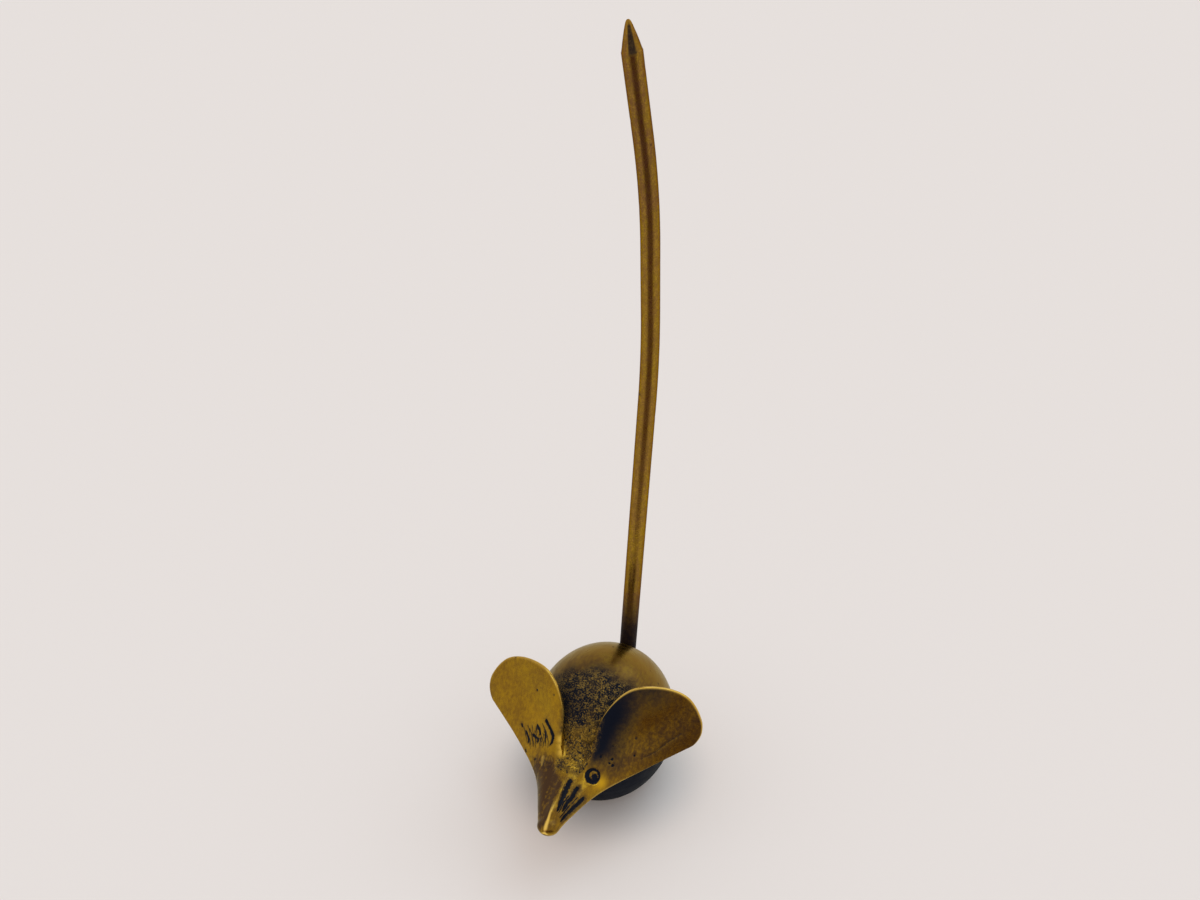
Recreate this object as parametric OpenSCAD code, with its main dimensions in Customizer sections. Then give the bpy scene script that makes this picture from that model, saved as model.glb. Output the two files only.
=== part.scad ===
// Bill spike: a brass mouse whose tail is the spike that the bills are pushed on to.
// Millimetres, +Z up, the table at z = 0. The snout points to -Y and +X is the mouse's left.
// The origin is on the table, under the middle of the body.

/* [Body] */
// width of the egg-shaped body
body_w = 33.2; // [24:0.2:46]
// height of the egg, square to its length, before its underside is ground flat
body_h = 34.8; // [26:0.2:46]
// length of the egg from rump to neck
body_len = 39.2; // [30:0.2:54]
// rise of the egg's neck end above the level
body_tilt = 12; // [0:1:20]
// height that is ground off the egg's lowest point for the flat foot
foot_cut = 3.8; // [1.5:0.1:5]

/* [Head] */
// length of the snout ahead of the neck end of the egg
snout_len = 18.3; // [15:0.1:25]
// roundness of the bridge of the nose, as a share of the half width
bridge_round = 0.22; // [0.08:0.01:0.5]
// thickness of the cast ears at their rims
ear_wall = 1.1; // [0.8:0.1:2]
// width over both ears
ear_span = 50.2; // [40:0.2:64]
// height of the ear tops above the neck end of the egg
ear_rise = 15.1; // [11:0.1:20]
// extra hollow in the middle of each ear
ear_cup = 1.2; // [0:0.1:2.5]
// half width of the neck where the head sits on the body
neck_half = 8; // [6:0.5:10]

/* [Spike] */
// diameter of the drawn rod
spike_d = 4; // [3:0.1:6]
// sideways place of the rod's foot, to the mouse's left
spike_x = 1; // [-2:0.1:2]
// place of the rod's foot along the back, as a share of half the body's length
spike_back = 0.806; // [0.6:0.002:0.86]
// lean of the lowest stretch to the mouse's left
spike_lean = 2.6; // [-6:0.1:6]
// lean of the lowest stretch to the back
spike_lean_back = 1.5; // [-6:0.1:6]
// direction that both bends turn to, seen from above
bend_turn = 237; // [0:1:359]
// straight stretch from the body to the first bend
low_len = 64.7; // [40:0.1:100]
// first bend
bend_1 = 5.9; // [1:0.1:15]
// radius of the first bend
bend_r1 = 200; // [80:5:300]
// straight stretch between the bends
mid_len = 13.5; // [5:0.1:40]
// second bend
bend_2 = 9.3; // [1:0.1:20]
// radius of the second bend
bend_r2 = 133; // [60:1:300]
// straight stretch from the second bend to the point
top_len = 14.8; // [8:0.1:40]
// thinning of the rod in a bend, on the diameter
bend_thin = 0.02; // [0.01:0.01:0.1]
// length of the turned point
point_len = 5.2; // [3:0.1:10]
// length of the shank in the body
shank_len = 12; // [8:0.5:16]

/* [Joints] */
// diameter of the dowel between head and body
dowel_d = 3; // [2:0.1:4]
// length of the dowel in the body
dowel_in_body = 8; // [5:0.5:12]
// length of the dowel in the head
dowel_in_head = 6; // [4:0.5:8]
// solder gap round the shank and the dowel, on the radius
solder_gap = 0.05; // [0.02:0.01:0.1]
// solder gap between the head's seat and the body
seat_gap = 0.05; // [0.02:0.01:0.1]
// depth left free at the end of each blind bore
end_gap = 0.3; // [0.1:0.1:1]

/* [Hidden] */
$fn = 64;
egg_w = body_w / 2;
egg_h = body_h / 2;
egg_l = body_len / 2;
egg_low = sqrt(pow(egg_h * cos(body_tilt), 2) + pow(egg_l * sin(body_tilt), 2));
egg_z = egg_low - foot_cut;
// turn of the round ball that brings its pole to the tilted egg's highest point
pole_tilt = atan(egg_l * tan(body_tilt) / egg_h);
// the neck end of the egg, from which the head's own sizes are taken
neck_y = -egg_l * cos(body_tilt);
neck_z = egg_z + egg_l * sin(body_tilt);
// least cover of the head over the body, at the neck and at the feathered edge of the forehead
skin = 0.6;
skin_edge = 0.25;
// length by which a straight stretch runs on into a bend
lap = 0.5;
rows = 26;
cols = 28;
head_unit = [ear_span / 50.2, snout_len / 18.3, ear_rise / 15.1];
brass = [0.72, 0.55, 0.2];

// Curves of the head at its first size, from the neck end of the egg; the left half only.
nose = [0, -18.3, -1.8];
bridge_line = [nose, [0, -17.9, -0.5], [0, -14.2, 1.1], [0, -8.4, 1.9], [0, -3.4, 2.6], [0, 0.5, 5.2]];
lower_edge = [nose, [1.8, -17.6, -2.1], [3.6, -13.2, -1.6], [7.4, -5.3, -1.3], [14.7, 2.4, 0.4], [25.1, 10.1, 4.4]];
ear_rim = [
    [3.2, 0.8, 4.2],
    [4.9, 5.1, 10.8],
    [9.4, 9, 15.1],
    [15.6, 12, 15.1],
    [21.3, 13.3, 12.8],
    [24.7, 12, 8.5],
    [25.1, 10.1, 4.4]
];
// depth of the chin and neck below the bridge, at the same stations as the bridge line
chin_depth = [0, 1.6, 4.2, 6.2, 7.4, 0];
// share of the half width at which the ear springs from the forehead
ear_root = 1 / 7;
// the way each ear faces
ear_face = [0.33, -0.83, 0.45];

function mix(a, b, t) = a + (b - a) * t;
function limit(t) = min(max(t, 0), 1);
function ease(t) = limit(t) * limit(t) * (3 - 2 * limit(t));
function unit(v) = v / max(norm(v), 0.000001);

// a smooth curve through all the points, t from 0 to 1
function curve(p, t) =
    let (
        n = len(p) - 1,
        x = limit(t) * n,
        k = min(floor(x), n - 1),
        s = x - k,
        b = p[k],
        c = p[k + 1],
        a = k > 0 ? p[k - 1] : 2 * b - c,
        d = k + 2 <= n ? p[k + 2] : 2 * c - b
    )
    0.5 * (2 * b + (c - a) * s + (2 * a - 5 * b + 4 * c - d) * s * s + (3 * b - a - 3 * c + d) * s * s * s);

// the egg's front as y over (x, z), or its top as z over (x, y), with the egg grown by a clearance
function egg_k(grow) =
    let (
        w = 1 / pow(egg_w + grow, 2),
        h = 1 / pow(egg_h + grow, 2),
        l = 1 / pow(egg_l + grow, 2),
        c = cos(body_tilt),
        s = sin(body_tilt)
    )
    [c * c * l + s * s * h, 2 * s * c * (h - l), s * s * l + c * c * h, w];
function egg_front(x, z, grow) =
    let (
        k = egg_k(grow),
        h = z - egg_z,
        d = pow(k[1] * h, 2) - 4 * k[0] * (k[2] * h * h + k[3] * x * x - 1)
    )
    d > 0 ? (-k[1] * h - sqrt(d)) / (2 * k[0]) : 99;
function egg_top(x, y) =
    let (k = egg_k(0), d = pow(k[1] * y, 2) - 4 * k[2] * (k[0] * y * y + k[3] * x * x - 1))
    egg_z + (-k[1] * y + sqrt(max(d, 0))) / (2 * k[2]);
// a point that lies in the egg is brought forward to the egg's skin
function before_egg(p, grow) = [p[0], min(p[1], egg_front(p[0], p[2], grow)), p[2]];

// the outer border: across the forehead to the ear's root, then round the ear to its lower corner
function border(v) =
    v < ear_root
        ? mix(bridge_line[5], ear_rim[0], v / ear_root)
        : curve(ear_rim, (v - ear_root) / (1 - ear_root));

// the face: u from the nose to the border, v from the bridge to the lower edge
function face_local(u, v) =
    let (
        r = bridge_round,
        g = (sqrt(v * v + r * r) - r) / (sqrt(1 + r * r) - r),
        q = limit((v - ear_root) / (1 - ear_root)),
        c0 = curve(bridge_line, u),
        c1 = curve(lower_edge, u),
        e = lower_edge[5] - bridge_line[5],
        w = [v, g, g],
        roof = [for (i = [0:2]) mix(c0[i], c1[i], w[i])],
        chord = [for (i = [0:2]) bridge_line[5][i] + e[i] * w[i]],
        lift = pow(u, 2.6 + 5.4 * pow(1 - q, 2.5)),
        hollow = ear_cup * sin(180 * limit(2 * u - 1)) * sin(180 * q)
    )
    roof + lift * (border(v) - chord) - hollow * ear_face;
function face_point(u, v) =
    let (p = face_local(u, v), cover = mix(skin, skin_edge, ease((u - 0.7) / 0.3)))
    before_egg([p[0] * head_unit[0], neck_y + p[1] * head_unit[1], neck_z + p[2] * head_unit[2]], seat_gap + cover);

// rows run from just behind the nose to the border, columns from the bridge to the lower edge
face = [for (i = [1:rows]) [for (j = [0:cols]) face_point(i / rows, j / cols)]];
function across_at(i, j) = j < 0 ? [-face[i][-j][0], face[i][-j][1], face[i][-j][2]] : face[i][min(j, cols)];
// a slope taken over several rows and columns, so that the wall stays even round the ear's root
function face_normal(i, j) =
    let (
        du = face[min(i + 4, rows - 1)][j] - face[max(i - 4, 0)][j],
        dv = across_at(i, j + 5) - across_at(i, j - 5),
        toward = [ear_face[0] * ease(2.5 * j / cols), ear_face[1], ear_face[2]]
    )
    unit(unit(cross(dv, du)) + toward);
// the back: the ear's wall behind the face, and the chin and neck below the bridge
function back_point(i, j) =
    let (
        p = face[i][j],
        u = (i + 1) / rows,
        across = limit(p[0] / min(face[i][cols][0], neck_half)),
        fill = pow(max(1 - across * across, 0), mix(0.8, 1.5, ease((u - 0.4) / 0.4))),
        deep = curve([for (d = chin_depth) [d, 0, 0]], u)[0] * head_unit[2],
        wall = ear_wall * mix(0.03, 1, ease((u - 0.12) / 0.45))
    )
    before_egg(p - wall * face_normal(i, j) - [0, 0, max(deep, 0) * fill], seat_gap);
back = [for (i = [0:rows - 1]) [for (j = [0:cols]) back_point(i, j)]];

// both halves side by side, column 0 at the right ear's lower edge
span = 2 * cols;
function both(grid) = [
    for (row = grid, j = [0:span])
        let (p = row[abs(j - cols)])
        j < cols ? [-p[0], p[1], p[2]] : p
];
tip = [0, neck_y + nose[1] * head_unit[1], neck_z + nose[2] * head_unit[2]];
head_points = concat([tip], both(face), both(back));
function f_at(i, j) = 1 + i * (span + 1) + j;
function b_at(i, j) = f_at(i + rows, j);
head_faces = concat(
    [for (j = [0:span - 1]) [0, f_at(0, j), f_at(0, j + 1)]],
    [for (j = [0:span - 1]) [0, b_at(0, j + 1), b_at(0, j)]],
    [for (i = [0:rows - 2], j = [0:span - 1]) [f_at(i, j), f_at(i + 1, j + 1), f_at(i, j + 1)]],
    [for (i = [0:rows - 2], j = [0:span - 1]) [f_at(i, j), f_at(i + 1, j), f_at(i + 1, j + 1)]],
    [for (i = [0:rows - 2], j = [0:span - 1]) [b_at(i, j), b_at(i, j + 1), b_at(i + 1, j + 1)]],
    [for (i = [0:rows - 2], j = [0:span - 1]) [b_at(i, j), b_at(i + 1, j + 1), b_at(i + 1, j)]],
    [for (j = [0:span - 1]) [f_at(rows - 1, j), b_at(rows - 1, j + 1), f_at(rows - 1, j + 1)]],
    [for (j = [0:span - 1]) [f_at(rows - 1, j), b_at(rows - 1, j), b_at(rows - 1, j + 1)]],
    [[0, b_at(0, 0), f_at(0, 0)], [0, f_at(0, span), b_at(0, span)]],
    [for (i = [0:rows - 2]) [f_at(i, 0), b_at(i + 1, 0), f_at(i + 1, 0)]],
    [for (i = [0:rows - 2]) [f_at(i, 0), b_at(i, 0), b_at(i + 1, 0)]],
    [for (i = [0:rows - 2]) [f_at(i, span), f_at(i + 1, span), b_at(i + 1, span)]],
    [for (i = [0:rows - 2]) [f_at(i, span), b_at(i + 1, span), b_at(i, span)]]
);

// the rod's foot, on the egg's skin
foot = [spike_x, egg_l * spike_back, egg_top(spike_x, egg_l * spike_back)];
// the dowel's middle, on the neck end of the egg and a little below it
dowel_z = neck_z - 1.2;
dowel_y = egg_front(0, dowel_z, 0);

module at_foot() {
    translate(foot)
        rotate([-spike_lean_back, spike_lean, 0])
            children();
}

module dowel_bore() {
    reach = dowel_in_body + dowel_in_head + 2 * end_gap;
    translate([0, dowel_y + dowel_in_body + end_gap, dowel_z])
        rotate([90, 0, 0])
            cylinder(h = reach, d = dowel_d + 2 * solder_gap);
}

module body() {
    color(brass)
        difference() {
            translate([0, 0, egg_z])
                rotate([-body_tilt, 0, 0])
                    scale([egg_w, egg_l, egg_h])
                        rotate([pole_tilt, 0, 0])
                            sphere(1);
            translate([-body_w, -body_len, -body_w])
                cube([2 * body_w, 2 * body_len, body_w]);
            at_foot()
                translate([0, 0, -shank_len - end_gap])
                    cylinder(h = shank_len + 10, d = spike_d + 2 * solder_gap);
            dowel_bore();
        }
}

module head() {
    color(brass)
        difference() {
            polyhedron(head_points, head_faces, convexity = 6);
            dowel_bore();
        }
}

module neck_dowel() {
    color(brass)
        translate([0, dowel_y + dowel_in_body, dowel_z])
            rotate([90, 0, 0])
                cylinder(h = dowel_in_body + dowel_in_head, d = dowel_d);
}

// one bend of the rod, from straight up towards local +X
module bent_rod(r, a) {
    translate([r, 0, 0])
        rotate([90, 0, 0])
            rotate([0, 0, 180 - a])
                rotate_extrude(angle = a)
                    translate([r, 0])
                        circle(d = spike_d - bend_thin);
}

module past_bend(r, a) {
    translate([r * (1 - cos(a)), 0, r * sin(a)])
        rotate([0, a, 0])
            children();
}

module point() {
    r = spike_d / 2;
    h = point_len;
    rotate_extrude()
        polygon([[0, 0], [r, 0], [0.83 * r, 0.3 * h], [0.54 * r, 0.7 * h], [0.28 * r, 0.92 * h], [0.12 * r, h], [0, h]]);
}

module spike() {
    color(brass)
        at_foot()
            rotate([0, 0, bend_turn]) {
                translate([0, 0, -shank_len])
                    cylinder(h = shank_len + low_len + lap, d = spike_d);
                translate([0, 0, low_len]) {
                    bent_rod(bend_r1, bend_1);
                    past_bend(bend_r1, bend_1) {
                        translate([0, 0, -lap])
                            cylinder(h = mid_len + 2 * lap, d = spike_d);
                        translate([0, 0, mid_len]) {
                            bent_rod(bend_r2, bend_2);
                            past_bend(bend_r2, bend_2) {
                                translate([0, 0, -lap])
                                    cylinder(h = top_len + lap, d = spike_d);
                                translate([0, 0, top_len])
                                    point();
                            }
                        }
                    }
                }
            }
}

body();
head();
neck_dowel();
spike();
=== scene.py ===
"""Looks of a brass mouse bill spike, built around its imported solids."""

import math

import bpy
import numpy as np
from bpy.props import FloatProperty, FloatVectorProperty, IntProperty, PointerProperty
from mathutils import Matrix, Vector


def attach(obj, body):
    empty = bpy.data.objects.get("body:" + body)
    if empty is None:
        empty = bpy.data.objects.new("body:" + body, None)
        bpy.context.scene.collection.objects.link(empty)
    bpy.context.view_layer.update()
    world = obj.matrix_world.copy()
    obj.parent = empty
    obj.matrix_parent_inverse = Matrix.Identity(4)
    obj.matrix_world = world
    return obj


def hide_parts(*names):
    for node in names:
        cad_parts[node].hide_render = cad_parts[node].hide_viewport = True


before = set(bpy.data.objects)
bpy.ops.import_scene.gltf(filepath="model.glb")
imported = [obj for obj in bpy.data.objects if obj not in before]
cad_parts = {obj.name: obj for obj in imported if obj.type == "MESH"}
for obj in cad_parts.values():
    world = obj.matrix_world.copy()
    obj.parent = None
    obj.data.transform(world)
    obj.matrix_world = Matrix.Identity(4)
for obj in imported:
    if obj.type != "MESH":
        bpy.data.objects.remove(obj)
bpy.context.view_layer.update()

bl_info = {
    "name": "Mouse Bill Spike",
    "version": (1, 0, 0),
    "blender": (4, 5, 0),
    "location": "View3D > Sidebar > Bill Spike",
    "description": "Builds the looks of a brass mouse bill spike around its solids",
    "category": "Add Mesh",
}

MM = 0.001

# A place behind everything, in millimetres.
FAR_BACK = 99

# Curves of the head in millimetres from the neck end of the egg, left half only.
NOSE = (0, -18.3, -1.8)
BRIDGE = (NOSE, (0, -17.9, -0.5), (0, -14.2, 1.1), (0, -8.4, 1.9), (0, -3.4, 2.6), (0, 0.5, 5.2))
LOWER_EDGE = (
    NOSE,
    (1.8, -17.6, -2.1),
    (3.6, -13.2, -1.6),
    (7.4, -5.3, -1.3),
    (14.7, 2.4, 0.4),
    (25.1, 10.1, 4.4),
)
EAR_RIM = (
    (3.2, 0.8, 4.2),
    (4.9, 5.1, 10.8),
    (9.4, 9, 15.1),
    (15.6, 12, 15.1),
    (21.3, 13.3, 12.8),
    (24.7, 12, 8.5),
    (25.1, 10.1, 4.4),
)

# Depth of the chin and neck behind the face, from the nose to the ears.
CHIN_DEPTH = (0, 1.6, 4.2, 6.2, 7.4, 0)

# Where the ear starts on the way across, the way its hollow opens, and the reach in u and v over which
# the wall behind it takes its direction.
EAR_ROOT = 1 / 7
EAR_FACE = np.array((0.33, -0.83, 0.45))
WALL_U, WALL_V, FIRST_U = 4 / 26, 5 / 28, 1 / 26

# Sizes in millimetres at which these curves are drawn; the settings scale them.
FIRST_SPAN, FIRST_SNOUT, FIRST_RISE = 50.2, 18.3, 15.1

# Engraved strokes on the head, in millimetres in the part's frame: points, width, depth, how dark the
# groove is filled.
WHISKERS = (
    (((1.3, -26, 19.7), (1.2, -28.6, 19.3), (1.2, -30.9, 18.9), (1.2, -33.3, 18.4)), 1.4, 0.3, 1),
    (((3.1, -26.9, 19.0), (2.8, -29.1, 18.7), (2.3, -30.8, 18.4), (2.1, -32.8, 18.1)), 1.25, 0.32, 1),
    (
        ((4.9, -28, 17.7), (4.2, -29.7, 17.6), (3.5, -31.3, 17.5), (2.7, -33.1, 17.2), (2.3, -34.4, 17)),
        1.2,
        0.3,
        1,
    ),
    (((2.1, -29.2, 19), (1.7, -31, 18.7), (1.6, -33.4, 18.2)), 0.45, 0.12, 0.7),
    (((3, -30.8, 18.2), (2.5, -32.4, 17.9), (2, -34.2, 17.6)), 0.45, 0.12, 0.7),
    (((3.8, -28.6, 18.3), (3.1, -30.6, 18.1)), 0.4, 0.1, 0.6),
    (((0.5, -27.2, 19.6), (0.6, -29.4, 19.3), (0.7, -31.6, 18.9)), 0.4, 0.08, 0.5),
)
HAIR_STROKES = (
    (
        ((-8.1, -15.4, 24), (-6.5, -17, 23.3), (-5.6, -18, 22.8), (-5.5, -19, 21.9), (-6, -19.6, 21.2)),
        1,
        0.3,
        1,
    ),
    (((-10.1, -15.7, 22.4), (-9.1, -16.9, 21.9), (-8.8, -17.6, 21.4)), 0.7, 0.2, 0.9),
    (((-10.7, -17.1, 20.7), (-9.2, -17.9, 20.9), (-9, -18.9, 20.3)), 0.7, 0.2, 0.9),
    (((-12.7, -16.2, 20.4), (-11.6, -17.5, 19.8), (-11.4, -18.4, 19.1)), 0.7, 0.2, 0.9),
    (((-8.6, -18, 21.2), (-7.8, -19.5, 20.4)), 0.5, 0.14, 0.7),
    (((-7.8, -17.1, 22.3), (-6.7, -19.5, 20.9)), 0.5, 0.14, 0.7),
    (((-14.2, -15, 20.9), (-13.8, -15.5, 20.4)), 0.7, 0.18, 0.9),
    (((-11.7, -19.1, 17.9), (-11.5, -19.6, 17.5)), 0.7, 0.2, 0.9),
    (((21, -9.9, 24.2), (18.5, -11.8, 22.7), (16.2, -13.9, 21), (13.5, -16.1, 20)), 0.45, 0.06, 0.5),
)

# Fine strokes side by side at the root of the right ear, between an upper and a lower line:
# place across, and where each starts and ends on its way down.
COMB_TOP = ((-14, -15.1, 20.9), (-8.2, -15.6, 23.8))
COMB_LOW = ((-11.2, -19.2, 18.4), (-5.9, -20, 20.8))
COMB_BOW = np.array((0.25, 0.15, 0.1))
COMB_WIDTH, COMB_DEPTH, COMB_FILL = 0.4, 0.15, 0.55
COMB = (
    *((0.02, 0.1, 0.8), (0.12, 0.3, 0.95), (0.2, 0, 0.5), (0.33, 0.35, 1), (0.4, 0.05, 0.4)),
    *((0.47, 0.3, 0.85), (0.56, 0.1, 0.55), (0.63, 0.45, 1), (0.72, 0.2, 0.8), (0.81, 0.4, 0.95)),
    *((0.9, 0.15, 0.75), (0.98, 0.5, 1), (0.07, 0.35, 0.7), (0.16, 0.5, 1), (0.26, 0.15, 0.6)),
    *((0.29, 0.55, 0.9), (0.44, 0.6, 1), (0.52, 0.45, 0.8), (0.6, 0.15, 0.4), (0.67, 0.1, 0.5)),
    *((0.76, 0.55, 1), (0.85, 0.05, 0.45), (0.94, 0.3, 0.6)),
)

# How much wider than a stroke the tarnish beside it reaches.
SMEAR_REACH = 1.5

# Single pits on the head: depth and fill of all, then centre and width of each.
SMALL_PIT_DEPTH, SMALL_PIT_FILL = 0.2, 0.9
SMALL_PITS = (
    ((-8.5, -21.5, 18.4), 0.7),
    ((-11.8, -11.3, 28.2), 0.7),
    ((5.7, -19.3, 21.5), 1),
    ((8.1, -18.7, 20.9), 0.9),
    ((7.8, -19.5, 20.5), 0.8),
    ((8.5, -19.5, 20.1), 0.9),
    ((7.7, -16.8, 22.8), 0.6),
    ((12.3, -16.1, 20.8), 0.7),
)

# The eyes: rise of the dome inside both rings, then centre, direction, depth of the ring, how dark it is
# filled; and the bright line beside the right eye.
EYE_DOME = 0.1
EYES = (
    ((5.4, -23.1, 19.6), (0.39, -0.43, 0.82), 0.34, 1),
    ((-5.2, -22.6, 19.9), (-0.3, -0.4, 0.87), 0.2, 0.3),
)
EYE_GLINT = ((-6.7, -21.9, 20), (-6.7, -22.8, 19.5), (-6.4, -23.6, 19.1))

# The swelling beside the root of the right ear: centres, reach and rise. Its bright colour is a painted
# highlight on brass worn there.
ROOT_RIDGE = ((-3.3, -18.5, 22.8), (-2.9, -19.6, 21.9), (-2.6, -20.5, 21.2))
RIDGE_REACH, RIDGE_RISE = 2.1, 0.2

# Places kept bright by handling: centre, reach, how bright.
GLEAMS = (
    ((1.2, -22.2, 20.4), 3.4, 0.45),
    ((7.35, -23.4, 18.5), 2.5, 0.95),
    ((1.3, -20.1, 22), 1.2, 0.6),
    ((-8.5, -17, 22), 8, 0.3),
)

# The ball at the end of the snout: centre and radii.
NOSE_CENTRE = np.array((0, -35.1, 16.05))
NOSE_RADII = np.array((2.42, 2.36, 1.75))

# Small pits scattered over the forehead, and the depth of the file marks between them.
FOREHEAD_PITS, FOREHEAD_SEED = 60, 4
FOREHEAD_PIT_WIDTHS = (0.3, 0.65)
FOREHEAD_PIT_DEPTH, FOREHEAD_PIT_FILL = 0.1, 0.8
FILE_DEPTH = 0.035

# Seeds of the pits in the skin and the dents in the rod, and the depth of a dent in metres.
SKIN_SEED, ROD_SEED = 3.0, 7.0
DENT_DEPTH = 0.00005

# The head's grid: the even stretch of its rows and of its columns, and how far the rows next to a rim
# lie from it, as shares of the surface.
EVEN_ROWS, EVEN_COLUMNS = (0.012, 0.984), (0, 0.98)
RIM_ROWS = np.array((0.012, 0.0085, 0.0055, 0.003, 0.0012, 0))

# The flat foot in millimetres: the egg's last ring above it, its rounded edge as how far inward and how
# high, and the rings on it as shares of its size.
LAST_RING = 0.3
FOOT_EDGE = ((0.04, 0.15), (0.16, 0.05), (0.34, 0))
FOOT_RINGS = (0.75, 0.5, 0.25)

# The dark crevice round the foot of the rod in millimetres: its reach, the stretch over which it fades,
# and its depth.
CREVICE_REACH, CREVICE_FADE, CREVICE_DEPTH = 0.75, 0.7, 0.14

# The rod in millimetres: its start below the skin, the first step after a bend, how many points each
# stretch has, and the turned point as shares of its length and of the rod's width.
ROD_START, ROD_STEP = -3, 0.5
ROD_POINTS = {"low": 90, "bend_1": 34, "middle": 20, "bend_2": 36, "top": 24}
POINT_PROFILE = (
    *((0.003, 0.99), (0.012, 0.97), (0.15, 0.87), (0.3, 0.775), (0.5, 0.63)),
    *((0.7, 0.47), (0.82, 0.365), (0.92, 0.265), (0.975, 0.18), (1, 0.1)),
)


class BodySettings(bpy.types.PropertyGroup):
    """Sizes of the egg-shaped body."""

    width: FloatProperty(
        name="Width",
        description="Width of the egg",
        default=0.0332,
        unit="LENGTH",
        precision=4,
    )
    height: FloatProperty(
        name="Height",
        description="Height of the egg before it is ground flat",
        default=0.0348,
        unit="LENGTH",
        precision=4,
    )
    length: FloatProperty(
        name="Length",
        description="Length of the egg from rump to neck",
        default=0.0392,
        unit="LENGTH",
        precision=4,
    )
    tilt: FloatProperty(
        name="Tilt",
        description="Rise of the neck end above the level",
        default=math.radians(12),
        subtype="ANGLE",
    )
    foot_cut: FloatProperty(
        name="Foot Cut",
        description="Height ground off for the flat foot",
        default=0.0038,
        unit="LENGTH",
        precision=4,
    )
    pit_size: FloatProperty(
        name="Pit Size",
        description="Size of the punched pits on the back",
        default=0.0007,
        unit="LENGTH",
        precision=5,
    )
    pit_depth: FloatProperty(
        name="Pit Depth",
        description="Depth of the punched pits",
        default=0.00015,
        unit="LENGTH",
        precision=5,
    )
    rings: IntProperty(name="Rings", description="Rows of faces from the top to the foot", default=236)
    segments: IntProperty(name="Segments", description="Faces round the body", default=400)


class HeadSettings(bpy.types.PropertyGroup):
    """Sizes of the cast head."""

    snout: FloatProperty(
        name="Snout",
        description="Length of the snout ahead of the body",
        default=0.0183,
        unit="LENGTH",
        precision=4,
    )
    ear_span: FloatProperty(
        name="Ear Span",
        description="Width over both ears",
        default=0.0502,
        unit="LENGTH",
        precision=4,
    )
    ear_rise: FloatProperty(
        name="Ear Rise",
        description="Height of the ear tops above the neck",
        default=0.0151,
        unit="LENGTH",
        precision=4,
    )
    ear_wall: FloatProperty(
        name="Ear Wall",
        description="Thickness of the ears",
        default=0.0011,
        unit="LENGTH",
        precision=4,
    )
    ear_cup: FloatProperty(
        name="Ear Cup",
        description="Extra hollow in the middle of each ear",
        default=0.0012,
        unit="LENGTH",
        precision=4,
    )
    neck_half: FloatProperty(
        name="Neck Half",
        description="Half width of the neck",
        default=0.008,
        unit="LENGTH",
        precision=4,
    )
    bridge_round: FloatProperty(
        name="Bridge Round",
        description="Roundness of the bridge of the nose",
        default=0.22,
        subtype="FACTOR",
    )
    rim_round: FloatProperty(
        name="Rim Round",
        description="Radius of the worn rims",
        default=0.00042,
        unit="LENGTH",
        precision=5,
    )
    rows: IntProperty(name="Rows", description="Rows of faces from the nose to the ear rims", default=190)
    columns: IntProperty(name="Columns", description="Columns of faces on each half", default=120)


class RodSettings(bpy.types.PropertyGroup):
    """Sizes of the bent rod."""

    diameter: FloatProperty(
        name="Diameter",
        description="Diameter of the drawn rod",
        default=0.004,
        unit="LENGTH",
        precision=4,
    )
    foot_x: FloatProperty(
        name="Foot X",
        description="Sideways place of the foot",
        default=0.001,
        unit="LENGTH",
        precision=4,
    )
    foot_back: FloatProperty(
        name="Foot Back",
        description="Place of the foot along the back, as a share of half the body",
        default=0.806,
    )
    lean: FloatProperty(
        name="Lean",
        description="Lean of the lowest stretch to the left",
        default=math.radians(2.6),
        subtype="ANGLE",
    )
    lean_back: FloatProperty(
        name="Lean Back",
        description="Lean of the lowest stretch to the back",
        default=math.radians(1.5),
        subtype="ANGLE",
    )
    bend_turn: FloatProperty(
        name="Bend Turn",
        description="Direction of both bends from above",
        default=math.radians(237),
        subtype="ANGLE",
    )
    low: FloatProperty(
        name="Low",
        description="Straight stretch to the first bend",
        default=0.0647,
        unit="LENGTH",
    )
    bend_1: FloatProperty(name="Bend 1", description="First bend", default=math.radians(5.9), subtype="ANGLE")
    radius_1: FloatProperty(
        name="Radius 1",
        description="Radius of the first bend",
        default=0.2,
        unit="LENGTH",
    )
    middle: FloatProperty(
        name="Middle",
        description="Straight stretch between the bends",
        default=0.0135,
        unit="LENGTH",
    )
    bend_2: FloatProperty(
        name="Bend 2",
        description="Second bend",
        default=math.radians(9.3),
        subtype="ANGLE",
    )
    radius_2: FloatProperty(
        name="Radius 2",
        description="Radius of the second bend",
        default=0.133,
        unit="LENGTH",
    )
    top: FloatProperty(
        name="Top",
        description="Straight stretch below the point",
        default=0.0148,
        unit="LENGTH",
    )
    point: FloatProperty(
        name="Point",
        description="Length of the turned point",
        default=0.0052,
        unit="LENGTH",
    )
    # The side of the painted dark reflection down the point.
    streak_turn: FloatProperty(
        name="Streak Turn",
        description="Side of the dark streak on the point, from above",
        default=math.radians(17),
        subtype="ANGLE",
    )
    sides: IntProperty(name="Sides", description="Faces round the rod", default=56)


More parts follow.
